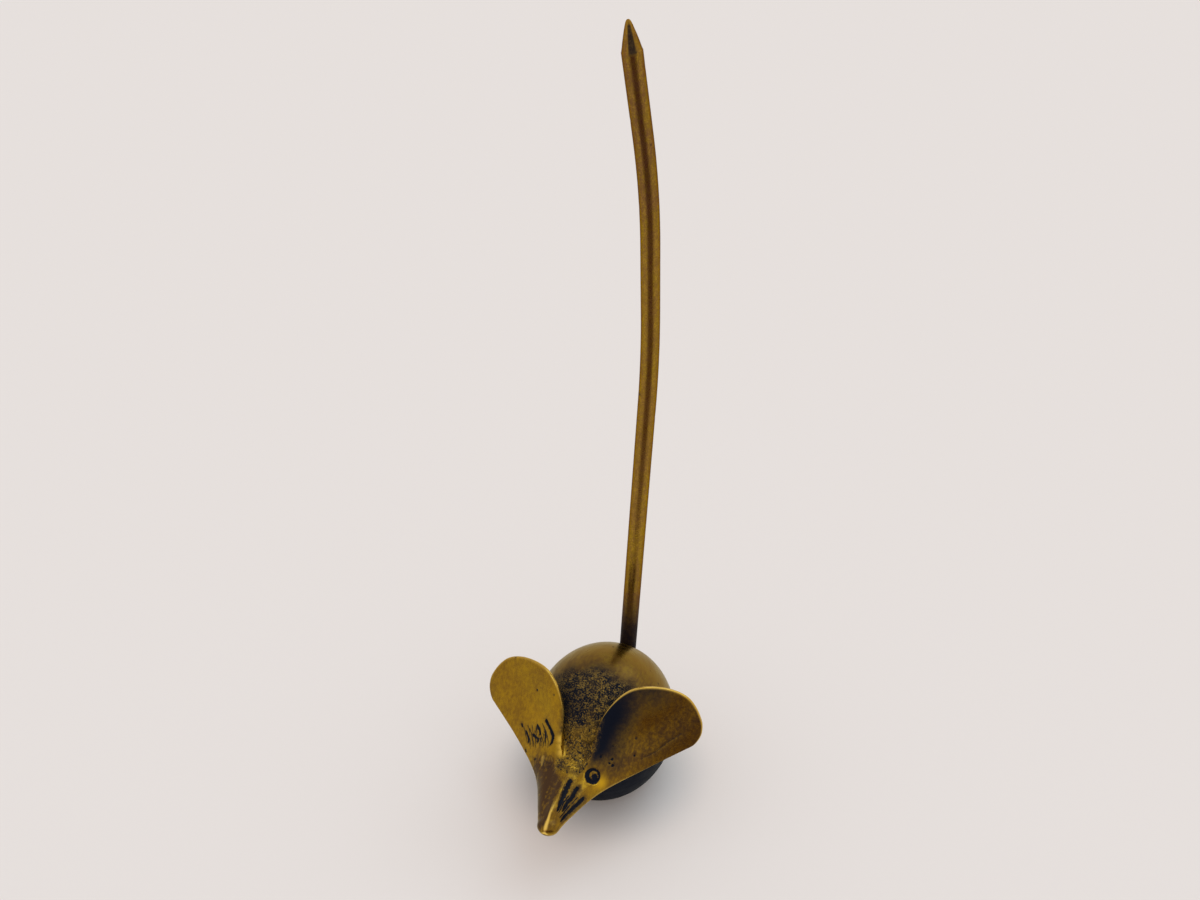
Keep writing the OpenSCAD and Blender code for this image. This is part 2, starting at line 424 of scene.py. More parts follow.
class FinishSettings(bpy.types.PropertyGroup):
    """Colours of the brass."""

    gold: FloatVectorProperty(
        name="Gold",
        description="Rubbed brass",
        default=(0.335, 0.184, 0.012),
        subtype="COLOR",
        min=0,
        max=1,
    )
    bronze: FloatVectorProperty(
        name="Bronze",
        description="Tarnished brass",
        default=(0.215, 0.109, 0.014),
        subtype="COLOR",
        min=0,
        max=1,
    )
    olive: FloatVectorProperty(
        name="Olive",
        description="Brushed brass of the back",
        default=(0.215, 0.127, 0.015),
        subtype="COLOR",
        min=0,
        max=1,
    )
    # Bright is also the colour of the painted highlights on the crest of the snout, the nose and the ridge by
    # the right ear.
    bright: FloatVectorProperty(
        name="Bright",
        description="Worn rims and ridges",
        default=(0.88, 0.565, 0.115),
        subtype="COLOR",
        min=0,
        max=1,
    )
    # Polish is also the colour of the painted highlight on the ridge by the right ear.
    polish: FloatVectorProperty(
        name="Polish",
        description="Brass kept bright by handling",
        default=(0.62, 0.35, 0.016),
        subtype="COLOR",
        min=0,
        max=1,
    )
    # Patina is also the colour of painted shade inside the left ear, along the ears' rims on the back and
    # under the belly, and of the painted dark reflection near the rod's foot and down its point.
    patina_and_painted_shade: FloatVectorProperty(
        name="Patina",
        description="Dark fill of pits and grooves",
        default=(0.0045, 0.0066, 0.0145),
        subtype="COLOR",
        min=0,
        max=1,
    )
    russet: FloatVectorProperty(
        name="Russet",
        description="Reddish tarnish of the rod",
        default=(0.27, 0.12, 0.032),
        subtype="COLOR",
        min=0,
        max=1,
    )
    # Brown is also the colour of painted shade on the right cheek and in the left ear's cup.
    brown: FloatVectorProperty(
        name="Brown",
        description="Brown tarnish",
        default=(0.072, 0.038, 0.019),
        subtype="COLOR",
        min=0,
        max=1,
    )


class StageSettings(bpy.types.PropertyGroup):
    """Floor, light and camera."""

    floor: FloatVectorProperty(
        name="Floor",
        description="Colour of the floor",
        default=(0.82, 0.82, 0.83),
        subtype="COLOR",
        min=0,
        max=1,
    )
    backdrop: FloatVectorProperty(
        name="Backdrop",
        description="Colour behind the floor",
        default=(0.79, 0.745, 0.717),
        subtype="COLOR",
        min=0,
        max=1,
    )
    eye: FloatVectorProperty(
        name="Camera Place",
        description="Where the camera stands",
        default=(0.05277, -0.16034, 0.1663),
        subtype="XYZ",
    )
    pitch: FloatProperty(
        name="Pitch",
        description="How far the camera looks down",
        default=math.radians(26),
        subtype="ANGLE",
    )
    yaw: FloatProperty(
        name="Yaw",
        description="How far the camera turns",
        default=math.radians(18.5),
        subtype="ANGLE",
    )
    lens: FloatProperty(name="Lens", description="Focal length on a 36 mm sensor", default=27.9)
    lamp_strength: FloatProperty(name="Lamp Strength", description="Strength of the broad lamp", default=0.62)
    lamp_spread: FloatProperty(
        name="Lamp Spread",
        description="How wide the broad lamp looks",
        default=math.radians(50),
        subtype="ANGLE",
    )


class BillSpikeSettings(bpy.types.PropertyGroup):
    """All settings of the bill spike."""

    body: PointerProperty(type=BodySettings)
    head: PointerProperty(type=HeadSettings)
    rod: PointerProperty(type=RodSettings)
    finish: PointerProperty(type=FinishSettings)
    stage: PointerProperty(type=StageSettings)


def mix(a, b, t):
    return a + (b - a) * t


def ease(t):
    t = np.clip(t, 0, 1)
    return t * t * (3 - 2 * t)


def unit(v):
    return v / np.maximum(np.linalg.norm(v, axis=-1, keepdims=True), 1e-9)


def spline(points, t):
    """A smooth curve through all the points, t from 0 to 1."""
    p = np.asarray(points, float)
    n = len(p) - 1
    x = np.clip(t, 0, 1) * n
    k = np.minimum(np.floor(x).astype(int), n - 1)
    s = (x - k)[..., None]
    b = p[k]
    c = p[k + 1]
    a = np.where((k > 0)[..., None], p[np.maximum(k - 1, 0)], 2 * b - c)
    d = np.where((k + 2 <= n)[..., None], p[np.minimum(k + 2, n)], 2 * c - b)
    return 0.5 * (2 * b + (c - a) * s + (2 * a - 5 * b + 4 * c - d) * s**2 + (3 * b - a - 3 * c + d) * s**3)


class Egg:
    """The body's egg in millimetres: tilted about X, its lowest part below the table."""

    def __init__(self, body):
        self.half_width = body.width / MM / 2
        self.half_height = body.height / MM / 2
        self.half_length = body.length / MM / 2
        self.tilt = body.tilt
        c, s = math.cos(self.tilt), math.sin(self.tilt)
        self.reach_down = math.hypot(self.half_height * c, self.half_length * s)
        self.middle_z = self.reach_down - body.foot_cut / MM
        self.neck = np.array((0, -self.half_length * c, self.middle_z + self.half_length * s))

    def terms(self, grow):
        """Factors of yy, yz, zz and xx in the equation of the egg, or of one grown by some millimetres."""
        c, s = math.cos(self.tilt), math.sin(self.tilt)
        high = 1 / (self.half_height + grow) ** 2
        long = 1 / (self.half_length + grow) ** 2
        wide = 1 / (self.half_width + grow) ** 2
        return c * c * long + s * s * high, 2 * s * c * (high - long), s * s * long + c * c * high, wide

    def front(self, x, z, grow):
        """The front of the egg as y over x and z, far back where there is none."""
        yy, yz, zz, xx = self.terms(grow)
        h = z - self.middle_z
        d = (yz * h) ** 2 - 4 * yy * (zz * h * h + xx * x * x - 1)
        return np.where(d > 0, (-yz * h - np.sqrt(np.maximum(d, 0))) / (2 * yy), FAR_BACK)

    def top(self, x, y):
        """The height of the egg's upper side over x and y."""
        yy, yz, zz, xx = self.terms(0)
        d = (yz * y) ** 2 - 4 * zz * (yy * y * y + xx * x * x - 1)
        return self.middle_z + (-yz * y + math.sqrt(max(d, 0))) / (2 * zz)

    def before(self, p, grow):
        """Points that lie in the egg are brought forward to its skin."""
        y = np.minimum(p[..., 1], self.front(p[..., 0], p[..., 2], grow))
        return np.stack((p[..., 0], y, p[..., 2]), -1)

    def skin(self, theta, phi):
        """A point of the egg; theta runs from its highest point down, phi round it."""
        turn = math.atan(self.half_length * math.tan(self.tilt) / self.half_height)
        x, y, z = np.sin(theta) * np.cos(phi), np.sin(theta) * np.sin(phi), np.cos(theta)
        y, z = y * math.cos(turn) - z * math.sin(turn), y * math.sin(turn) + z * math.cos(turn)
        x, y, z = x * self.half_width, y * self.half_length, z * self.half_height
        c, s = math.cos(self.tilt), math.sin(self.tilt)
        return np.stack((x, y * c + z * s, self.middle_z - y * s + z * c), -1)


class HeadForm:
    """The surface of the head over u, from the nose to the rims, and v, from the bridge to the lower edge."""

    def __init__(self, head, egg):
        self.egg = egg
        shares = (head.ear_span / FIRST_SPAN, head.snout / FIRST_SNOUT, head.ear_rise / FIRST_RISE)
        self.unit = np.array(shares) / MM
        self.wall = head.ear_wall / MM
        self.cup = head.ear_cup / MM
        self.neck_half = head.neck_half / MM
        self.round = head.bridge_round

    def world(self, p):
        return np.asarray(p, float) * self.unit + self.egg.neck

    def border(self, v):
        """Across the forehead to the ear's root, then round the ear."""
        round_ear = np.clip((v - EAR_ROOT) / (1 - EAR_ROOT), 0, 1)
        start = np.array(BRIDGE[-1], float)
        forehead = mix(start, np.array(EAR_RIM[0], float), np.clip(v / EAR_ROOT, 0, 1)[..., None])
        return np.where((v < EAR_ROOT)[..., None], forehead, spline(EAR_RIM, round_ear))

    def face(self, u, v):
        """The front of the head; v below 0 is its right half."""
        side = np.where(v < 0, -1.0, 1.0)
        v = np.abs(v)
        r = self.round
        down = (np.sqrt(v * v + r * r) - r) / (math.sqrt(1 + r * r) - r)
        round_ear = np.clip((v - EAR_ROOT) / (1 - EAR_ROOT), 0, 1)
        share = np.stack((v, down, down), -1)
        top = spline(BRIDGE, u)
        roof = top + (spline(LOWER_EDGE, u) - top) * share
        end = np.array(BRIDGE[-1], float)
        chord = end + (np.array(LOWER_EDGE[-1], float) - end) * share
        lift = u ** (2.6 + 5.4 * (1 - round_ear) ** 2.5)
        hollow = self.cup * np.sin(np.pi * np.clip(2 * u - 1, 0, 1)) * np.sin(np.pi * round_ear)
        p = self.world(roof + lift[..., None] * (self.border(v) - chord) - hollow[..., None] * EAR_FACE)
        brow = 1 - ease((v - 0.1) / 0.09)
        p[..., 1] += 3.4 * brow * ease((u - 0.7) / 0.3)
        skin = self.egg.front(p[..., 0], p[..., 2], 0.05 + mix(0.6, 0.03, ease((u - 0.7) / 0.3)))
        soft = 0.02 + 2.4 * brow * ease((u - 0.55) / 0.2)
        near = np.maximum(soft - np.abs(p[..., 1] - skin), 0) / soft
        p[..., 1] = np.minimum(p[..., 1], skin) - near**2 * soft / 4
        p[..., 0] *= side
        return p

    def rim_points(self):
        """Points along the inner rim of the left ear."""
        return self.world(spline(EAR_RIM, np.linspace(0, 0.55, 40)))

    def wall_at(self, u):
        return self.wall * mix(0.03, 1, ease((u - 0.12) / 0.45))

    def back(self, u, v, face):
        """The ear's wall behind the face, and the chin and neck below the bridge."""
        du = self.face(np.minimum(u + WALL_U, 1), v) - self.face(np.maximum(u - WALL_U, FIRST_U), v)
        dv = self.face(u, np.minimum(v + WALL_V, 1)) - self.face(u, v - WALL_V)
        toward = np.stack((ease(2.5 * v), np.ones(v.shape), np.ones(v.shape)), -1) * EAR_FACE
        normal = unit(unit(np.cross(dv, du)) + toward)
        half = np.minimum(self.face(u, np.ones(v.shape))[..., 0], self.neck_half)
        across = np.clip(face[..., 0] / np.maximum(half, 1e-6), 0, 1)
        fill = np.maximum(1 - across**2, 0) ** mix(0.8, 1.5, ease((u - 0.4) / 0.4))
        chin = [(d, 0, 0) for d in CHIN_DEPTH]
        deep = np.maximum(spline(chin, u)[..., 0], 0) * self.unit[2]
        p = face - self.wall_at(u)[..., None] * normal
        p[..., 2] -= deep * fill
        return self.egg.before(p, 0.05)


def wobble(p, size):
    """A smooth irregular value from -1 to 1 at each point, for hand-cut edges."""
    q = p * (2 * math.pi / size)
    a = np.sin(q[..., 0] * 1.1 + 1.3) * np.sin(q[..., 1] * 0.9 + 0.4) * np.sin(q[..., 2] * 1.2 + 2.1)
    b = np.sin(q[..., 0] * 2.3 + 0.2) * np.sin(q[..., 1] * 2.1 + 1.9) * np.sin(q[..., 2] * 1.9 + 0.7)
    return a + 0.6 * b


def comb_strokes():
    """The fine strokes at the root of the right ear, each bowed a little to one side."""
    top, low = np.array(COMB_TOP), np.array(COMB_LOW)
    for across, start, end in COMB:
        a, b = mix(top[0], top[1], across), mix(low[0], low[1], across)
        middle = mix(a, b, (start + end) / 2) + COMB_BOW * math.sin(across * 9)
        yield (mix(a, b, start), middle, mix(a, b, end)), COMB_WIDTH, COMB_DEPTH, COMB_FILL


def stroke_cut(p, normal, points, width):
    """How far each point lies in a groove: 1 along its middle, 0 outside, narrowing to its far end."""
    pts = np.asarray(points, float)
    cut = np.zeros(p.shape[:-1])
    count = len(pts) - 1
    for k in range(count):
        step = pts[k + 1] - pts[k]
        t = np.clip(((p - pts[k]) @ step) / (step @ step), 0, 1)
        off = p - pts[k] - t[..., None] * step
        rise = (off * normal).sum(-1, keepdims=True)
        away = np.where(np.abs(rise[..., 0]) < 1.2, np.linalg.norm(off - rise * normal, axis=-1), 9)
        along = (k + t) / count
        narrowing = np.sqrt(np.clip(1.02 - along**2.5, 0, 1))
        half = width / 2 * narrowing * (1 + 0.25 * wobble(p, 2.3) + 0.2 * wobble(p, 0.9))
        cut = np.maximum(cut, np.clip(1 - (away / np.maximum(half, 0.05)) ** 2, 0, 1))
    return cut


def pit_cut(p, centre, width):
    away = np.linalg.norm(p - np.array(centre), axis=-1) * (1 + 0.25 * wobble(p, 1.3))
    return np.clip(1 - (away / (width / 2)) ** 2, 0, 1)


def eye_cut(p, centre, normal):
    """The punched ring of an eye with its pupil, and the low dome inside the ring."""
    n = unit(np.array(normal, float))
    right = unit(np.array((1.0, 0, 0)) - n[0] * n)
    up = np.cross(n, right)
    q = p - np.array(centre)
    a, b, c = q @ right, q @ up, q @ n
    near = np.abs(c) < 1.6
    r = np.hypot(a, b) * (1 + 0.05 * wobble(p, 1.9))
    thick = 0.5 - 0.14 * (a + b) / np.maximum(r, 0.3) + 0.13 * wobble(p, 1.1)
    ring = np.clip(1 - ((r - 1.32) / thick) ** 2, 0, 1)
    pupil = np.clip(1 - (np.hypot(a - 0.3, b + 0.1) * (1 + 0.2 * wobble(p, 0.9)) / 0.9) ** 2, 0, 1)
    slot = np.clip(1 - ((b + 0.25 + 0.3 * (a - 0.2)) / 0.36) ** 2, 0, 1) * ((a > 0.2) & (a < 1.3))
    dome = np.clip(1 - (r / 0.95) ** 2, 0, 1) * near
    return np.maximum(np.maximum(ring, pupil), slot) * near, dome


def round_nose(p):
    """Draws the end of the snout on to a small ball."""
    q = p - NOSE_CENTRE
    ball = NOSE_CENTRE + q / np.maximum(np.linalg.norm(q / NOSE_RADII, axis=-1, keepdims=True), 0.2)
    return mix(p, ball, ease((-34 - p[..., 1:2]) / 2.4))


def skin_fields(p, rims):
    """Stipple and patina of the back and the forehead, with painted shade along the ears' rims, from the
    place alone, so that both pieces agree.
    """
    x, y, z = p[..., 0], p[..., 1], p[..., 2]
    right, left = (np.linalg.norm(p[..., None, :] - rims * (side, 1, 1), axis=-1).min(-1) for side in (-1, 1))
    start = 0.6 + 0.9 * wobble(p, 11) - 0.12 * np.abs(x)
    above_flank = ease((z - 14 - 0.25 * np.abs(x)) / 5)
    stipple = ease((start - 1.2 - y) / 6.5) * above_flank * (0.85 + 0.3 * wobble(p, 6))
    patina_and_painted_shade = (0.85 + 0.15 * ease((-2 - y) / 4)) * ease((start - y) / 6) * (1 + 0.2 * wobble(p, 8))
    # Painted shade where the ears' rims meet the back, partly patina, strongest by the right ear.
    rim_dark = 0.9 * ease((6.4 - right) / 5) * ease((2 - y) / 5) + 0.35 * ease((3.4 - left) / 2.8)
    rim_dark = rim_dark * ease((y + 17.5) / 4)
    patina_and_painted_shade = patina_and_painted_shade + rim_dark - 0.5 * ease((-11 - y) / 6) * ease((7 - np.abs(x)) / 3)
    return np.clip(stipple * (1 - 0.8 * rim_dark), 0, 1), np.clip(patina_and_painted_shade, 0, 1.4)


def grid_faces(rows, cols, first=0):
    """Quads of a grid of points, rows by cols, seen so that rows go down and columns to the right."""
    i, j = np.meshgrid(np.arange(rows - 1), np.arange(cols - 1), indexing="ij")
    a = first + i * cols + j
    return np.stack((a, a + cols, a + cols + 1, a + 1), -1).reshape(-1, 4)


def add_values(mesh, values):
    """Point values for the trees and materials to read."""
    for key, value in values.items():
        layer = mesh.attributes.new(key, "FLOAT", "POINT")
        layer.data.foreach_set("value", np.asarray(value, np.float32).ravel())


def new_object(data):
    """An object of the data's own name, linked to the scene."""
    made = bpy.data.objects.new(data.name, data)
    bpy.context.scene.collection.objects.link(made)
    return made


def new_piece(name, points, faces, **values):
    """A mesh object from points in millimetres, with its point values."""
    mesh = bpy.data.meshes.new(name)
    mesh.from_pydata((points * MM).tolist(), [], faces)
    mesh.update()
    mesh.shade_smooth()
    add_values(mesh, values)
    return new_object(mesh)


class Wiring:
    """Adds nodes to a tree and links them."""

    # Places of the colour sockets on a Mix node.
    MIX_FACTOR, MIX_A, MIX_B, MIX_RESULT = 0, 6, 7, 2

    def __init__(self, tree):
        self.tree = tree

    def add(self, kind, inputs=None, **settings):
        """A node with its settings, then its inputs by name or place."""
        node = self.tree.nodes.new(kind)
        for key, value in settings.items():
            setattr(node, key, value)
        for key, value in (inputs or {}).items():
            self.put(node.inputs[key], value)
        return node

    def put(self, socket, value):
        """Links a socket to another, or gives it a plain value."""
        if isinstance(value, bpy.types.NodeSocket):
            self.tree.links.new(value, socket)
        else:
            socket.default_value = value

    def math(self, operation, a, b=0.0, clamp=False):
        return self.add("ShaderNodeMath", {0: a, 1: b}, operation=operation, use_clamp=clamp).outputs[0]

    def weigh(self, *parts):
        """The sum of values, each times its weight."""
        total, *others = (self.math("MULTIPLY", value, weight) for value, weight in parts)
        for part in others:
            total = self.math("ADD", total, part)
        return total

    def less(self, value, weight=1.0):
        """One less the value times its weight."""
        return self.math("SUBTRACT", 1.0, self.math("MULTIPLY", value, weight))

    def remap(self, value, low, high, to_low=0.0, to_high=1.0):
        inputs = {"Value": value, "From Min": low, "From Max": high, "To Min": to_low, "To Max": to_high}
        return self.add("ShaderNodeMapRange", inputs, interpolation_type="SMOOTHSTEP").outputs["Result"]

    def blend(self, factor, a, b):
        """A colour between a and b."""
        inputs = {self.MIX_FACTOR: factor, self.MIX_A: a, self.MIX_B: b}
        return self.add("ShaderNodeMix", inputs, data_type="RGBA").outputs[self.MIX_RESULT]

    def vector(self, operation, *given):
        inputs = dict(enumerate(given))
        return self.add("ShaderNodeVectorMath", inputs, operation=operation).outputs["Vector"]

    def measure(self, operation, *given):
        inputs = dict(enumerate(given))
        return self.add("ShaderNodeVectorMath", inputs, operation=operation).outputs["Value"]

    def noise(self, vector, scale, detail, roughness=0.5, seed=None):
        """Smooth noise from 0 to 1; a seed makes it four-dimensional."""
        inputs = {"Vector": vector, "Scale": scale, "Detail": detail, "Roughness": roughness}
        if seed is None:
            return self.add("ShaderNodeTexNoise", inputs).outputs[0]
        inputs["W"] = seed
        return self.add("ShaderNodeTexNoise", inputs, noise_dimensions="4D").outputs[0]

    def group(self, name, inputs):
        return self.add("ShaderNodeGroup", inputs, node_tree=shared_tree(name)).outputs


def new_tree(name, kind, inputs, outputs):
    """A node group with named sockets: name, socket type, default."""
    tree = bpy.data.node_groups.new(name, kind)
    for label, socket, default in inputs:
        made = tree.interface.new_socket(label, in_out="INPUT", socket_type=socket)
        if default is not None:
            made.default_value = default
    for label, socket in outputs:
        tree.interface.new_socket(label, in_out="OUTPUT", socket_type=socket)
    wire = Wiring(tree)
    return wire, wire.add("NodeGroupInput").outputs, wire.add("NodeGroupOutput").inputs


def named(wire, name):
    return wire.add("GeometryNodeInputNamedAttribute", {"Name": name}, data_type="FLOAT").outputs["Attribute"]


def sink_and_dress(wire, given, geometry, depth, cavity):
    """Sinks the surface by the depth, keeps the cavity, with the painted dark streak of the rod, for the
    material, and dresses the result.
    """
    kept = wire.add(
        "GeometryNodeStoreNamedAttribute",
        {"Geometry": geometry, "Name": "cavity", "Value": cavity},
        data_type="FLOAT",
        domain="POINT",
    ).outputs[0]
    normal = wire.add("GeometryNodeInputNormal").outputs[0]
    inward = {0: normal, "Scale": wire.math("MULTIPLY", depth, -1.0)}
    move = wire.add("ShaderNodeVectorMath", inward, operation="SCALE").outputs[0]
    moved = wire.add("GeometryNodeSetPosition", {"Geometry": kept, "Offset": move}).outputs[0]
    smooth = wire.add("GeometryNodeSetShadeSmooth", {"Geometry": moved}).outputs[0]
    whole = wire.add("GeometryNodeRealizeInstances", {"Geometry": smooth}).outputs[0]
    return wire.add("GeometryNodeSetMaterial", {"Geometry": whole, "Material": given["Material"]}).outputs[0]


def chased_skin_tree():
    """Punched pits and grain over a piece, where its point value named stipple allows them."""
    wire, given, result = new_tree(
        "chased_skin",
        "GeometryNodeTree",
        (
            ("Geometry", "NodeSocketGeometry", None),
            ("Pit Size", "NodeSocketFloat", 0.0007),
            ("Pit Depth", "NodeSocketFloat", 0.00015),
            ("Seed", "NodeSocketFloat", SKIN_SEED),
            ("Material", "NodeSocketMaterial", None),
        ),
        (("Geometry", "NodeSocketGeometry"),),
    )
    density = wire.math("DIVIDE", 1.0, given["Pit Size"])
    place = wire.add("GeometryNodeInputPosition").outputs[0]
    cells = wire.add(
        "ShaderNodeTexVoronoi",
        {"Vector": place, "W": given["Seed"], "Scale": density, "Smoothness": 0.35},
        voronoi_dimensions="4D",
        feature="SMOOTH_F1",
    ).outputs["Distance"]
    clumps = wire.noise(place, wire.math("MULTIPLY", density, 0.45), 2.0, seed=given["Seed"])
    grain = wire.noise(place, wire.math("MULTIPLY", density, 1.7), 2.0, seed=given["Seed"])
    pit = wire.math("MULTIPLY", wire.remap(cells, 0.62, 0.2), wire.remap(clumps, 0.36, 0.56))
    dip = wire.math("MAXIMUM", pit, wire.math("MULTIPLY", wire.remap(grain, 0.55, 0.36), 0.6))
    cut = wire.math("MULTIPLY", dip, named(wire, "stipple"))
    depth = wire.math("MULTIPLY", cut, given["Pit Depth"])
    cavity = wire.math("MAXIMUM", cut, named(wire, "carved"))
    wire.put(result["Geometry"], sink_and_dress(wire, given, given["Geometry"], depth, cavity))
    return wire.tree


def drawn_rod_tree():
    """A round rod along a line of points, as thick as their value named thickness, with small dents.

    A painted dark reflection runs as a streak down one side, where the point value named streak allows it.
    """
    wire, given, result = new_tree(
        "drawn_rod",
        "GeometryNodeTree",
        (
            ("Geometry", "NodeSocketGeometry", None),
            ("Sides", "NodeSocketInt", 56),
            ("Dent Depth", "NodeSocketFloat", DENT_DEPTH),
            ("Streak Side", "NodeSocketVector", (0.0, -1.0, 0.0)),
            ("Seed", "NodeSocketFloat", ROD_SEED),
            ("Material", "NodeSocketMaterial", None),
        ),
        (("Geometry", "NodeSocketGeometry"),),
    )
    line = wire.add("GeometryNodeMeshToCurve", {"Mesh": given["Geometry"]}).outputs[0]
    circle = {"Resolution": given["Sides"], "Radius": 1.0}
    ring = wire.add("GeometryNodeCurvePrimitiveCircle", circle).outputs[0]
    tube = wire.add(
        "GeometryNodeCurveToMesh",
        {"Curve": line, "Profile Curve": ring, "Scale": named(wire, "thickness"), "Fill Caps": True},
    ).outputs[0]
    place = wire.add("GeometryNodeInputPosition").outputs[0]
    dent = wire.remap(wire.noise(place, 420.0, 1.0, seed=given["Seed"]), 0.62, 0.76)
    level = wire.vector("MULTIPLY", wire.add("GeometryNodeInputNormal").outputs[0], (1.0, 1.0, 0.0))
    # Painted reflection: a dark streak on the side facing the streak side, kept with the dents as dark fill.
    facing = wire.measure("DOT_PRODUCT", wire.vector("NORMALIZE", level), given["Streak Side"])
    streak = wire.math("MULTIPLY", wire.remap(facing, 0.84, 0.975), named(wire, "streak"))
    depth = wire.math("MULTIPLY", dent, given["Dent Depth"])
    cavity = wire.math("MAXIMUM", wire.math("MULTIPLY", dent, 0.3), streak)
    wire.put(result["Geometry"], sink_and_dress(wire, given, tube, depth, cavity))
    return wire.tree


def run_tree(piece, tree, **values):
    """Puts the tree on the piece, takes its result as the piece's mesh and removes the modifier."""
    stack = piece.modifiers.new(tree.name, "NODES")
    stack.node_group = tree
    for item in tree.interface.items_tree:
        key = item.name.lower().replace(" ", "_")
        if item.in_out == "INPUT" and key in values:
            stack[item.identifier] = values[key]
    piece.update_tag()
    graph = bpy.context.evaluated_depsgraph_get()
    graph.update()
    shaped = piece.evaluated_get(graph)
    made = bpy.data.meshes.new_from_object(shaped, preserve_all_data_layers=True, depsgraph=graph)
    piece.modifiers.remove(stack)
    old = piece.data
    piece.data = made
    made.name = piece.name
    bpy.data.meshes.remove(old)
    if not len(made.polygons):
        raise RuntimeError(f"{tree.name} made nothing of {piece.name}")


def tarnish_group():
    """Clouds of tarnish and a fine mottle over the brass."""
    wire, given, result = new_tree(
        "tarnish",
        "ShaderNodeTree",
        (
            ("Vector", "NodeSocketVector", None),
            ("Cloud Scale", "NodeSocketFloat", 160.0),
            ("Seed", "NodeSocketFloat", 1.0),
        ),
        (("Cloud", "NodeSocketFloat"), ("Mottle", "NodeSocketFloat")),
    )
    finer = wire.math("MULTIPLY", given["Cloud Scale"], 7.0)
    cloud = wire.noise(given["Vector"], given["Cloud Scale"], 4.0, roughness=0.6, seed=given["Seed"])
    mottle = wire.noise(given["Vector"], finer, 5.0, roughness=0.65, seed=given["Seed"])
    wire.put(result["Cloud"], wire.remap(cloud, 0.32, 0.68))
    wire.put(result["Mottle"], wire.remap(mottle, 0.36, 0.64))
    return wire.tree


def brushing_group():
    """Fine lines left by the file and the polishing cloth, drawn out along the axes with a small stretch."""
    wire, given, result = new_tree(
        "brushing",
        "ShaderNodeTree",
        (
            ("Vector", "NodeSocketVector", None),
            ("Stretch", "NodeSocketVector", (1.0, 1.0, 0.05)),
            ("Scale", "NodeSocketFloat", 2600.0),
        ),
        (("Height", "NodeSocketFloat"), ("Lines", "NodeSocketFloat")),
    )
    drawn = wire.vector("MULTIPLY", given["Vector"], given["Stretch"])
    fine = wire.noise(drawn, given["Scale"], 2.0)
    broad = wire.noise(drawn, wire.math("MULTIPLY", given["Scale"], 0.3), 2.0)
    wire.put(result["Height"], wire.weigh((fine, 0.5), (broad, 0.5)))
    wire.put(result["Lines"], wire.remap(wire.weigh((fine, 0.55), (broad, 0.45)), 0.38, 0.62))
    return wire.tree


def speckle_group():
    """Fine grains between the punch marks: 1 on a grain, 0 in the pits beside it."""
    wire, given, result = new_tree(
        "speckle",
        "ShaderNodeTree",
        (("Vector", "NodeSocketVector", None), ("Scale", "NodeSocketFloat", 3200.0)),
        (("Grain", "NodeSocketFloat"),),
    )
    fine = wire.noise(given["Vector"], given["Scale"], 3.0, roughness=0.6)
    clumps = wire.noise(given["Vector"], wire.math("MULTIPLY", given["Scale"], 0.24), 2.0)
    wire.put(result["Grain"], wire.remap(wire.weigh((fine, 0.68), (clumps, 0.32)), 0.46, 0.6))
    return wire.tree


def casting_group():
    """Scattered pinholes of the casting."""
    wire, given, result = new_tree(
        "casting",
        "ShaderNodeTree",
        (
            ("Vector", "NodeSocketVector", None),
            ("Scale", "NodeSocketFloat", 420.0),
            ("Rare", "NodeSocketFloat", 0.12),
        ),
        (("Pit", "NodeSocketFloat"),),
    )
    spots = wire.add("ShaderNodeTexVoronoi", {"Vector": given["Vector"], "Scale": given["Scale"]}).outputs
    chance = wire.add("ShaderNodeSeparateColor", {0: spots["Color"]}).outputs[0]
    chosen = wire.math("LESS_THAN", chance, given["Rare"])
    wire.put(result["Pit"], wire.math("MULTIPLY", wire.remap(spots["Distance"], 0.2, 0.06), chosen))
    return wire.tree


TREES = {
    "chased_skin": chased_skin_tree,
    "drawn_rod": drawn_rod_tree,
    "tarnish": tarnish_group,
    "brushing": brushing_group,
    "casting": casting_group,
    "speckle": speckle_group,
}


def shared_tree(name):
    """A tree or shader group, built when it is first wanted."""
    return bpy.data.node_groups.get(name) or TREES[name]()


def value_of(wire, name):
    return wire.add("ShaderNodeAttribute", attribute_name=name, attribute_type="GEOMETRY").outputs["Fac"]


def bare_material(name):
    material = bpy.data.materials.new(name)
    material.use_nodes = True
    material.node_tree.nodes.clear()
    return material, Wiring(material.node_tree)


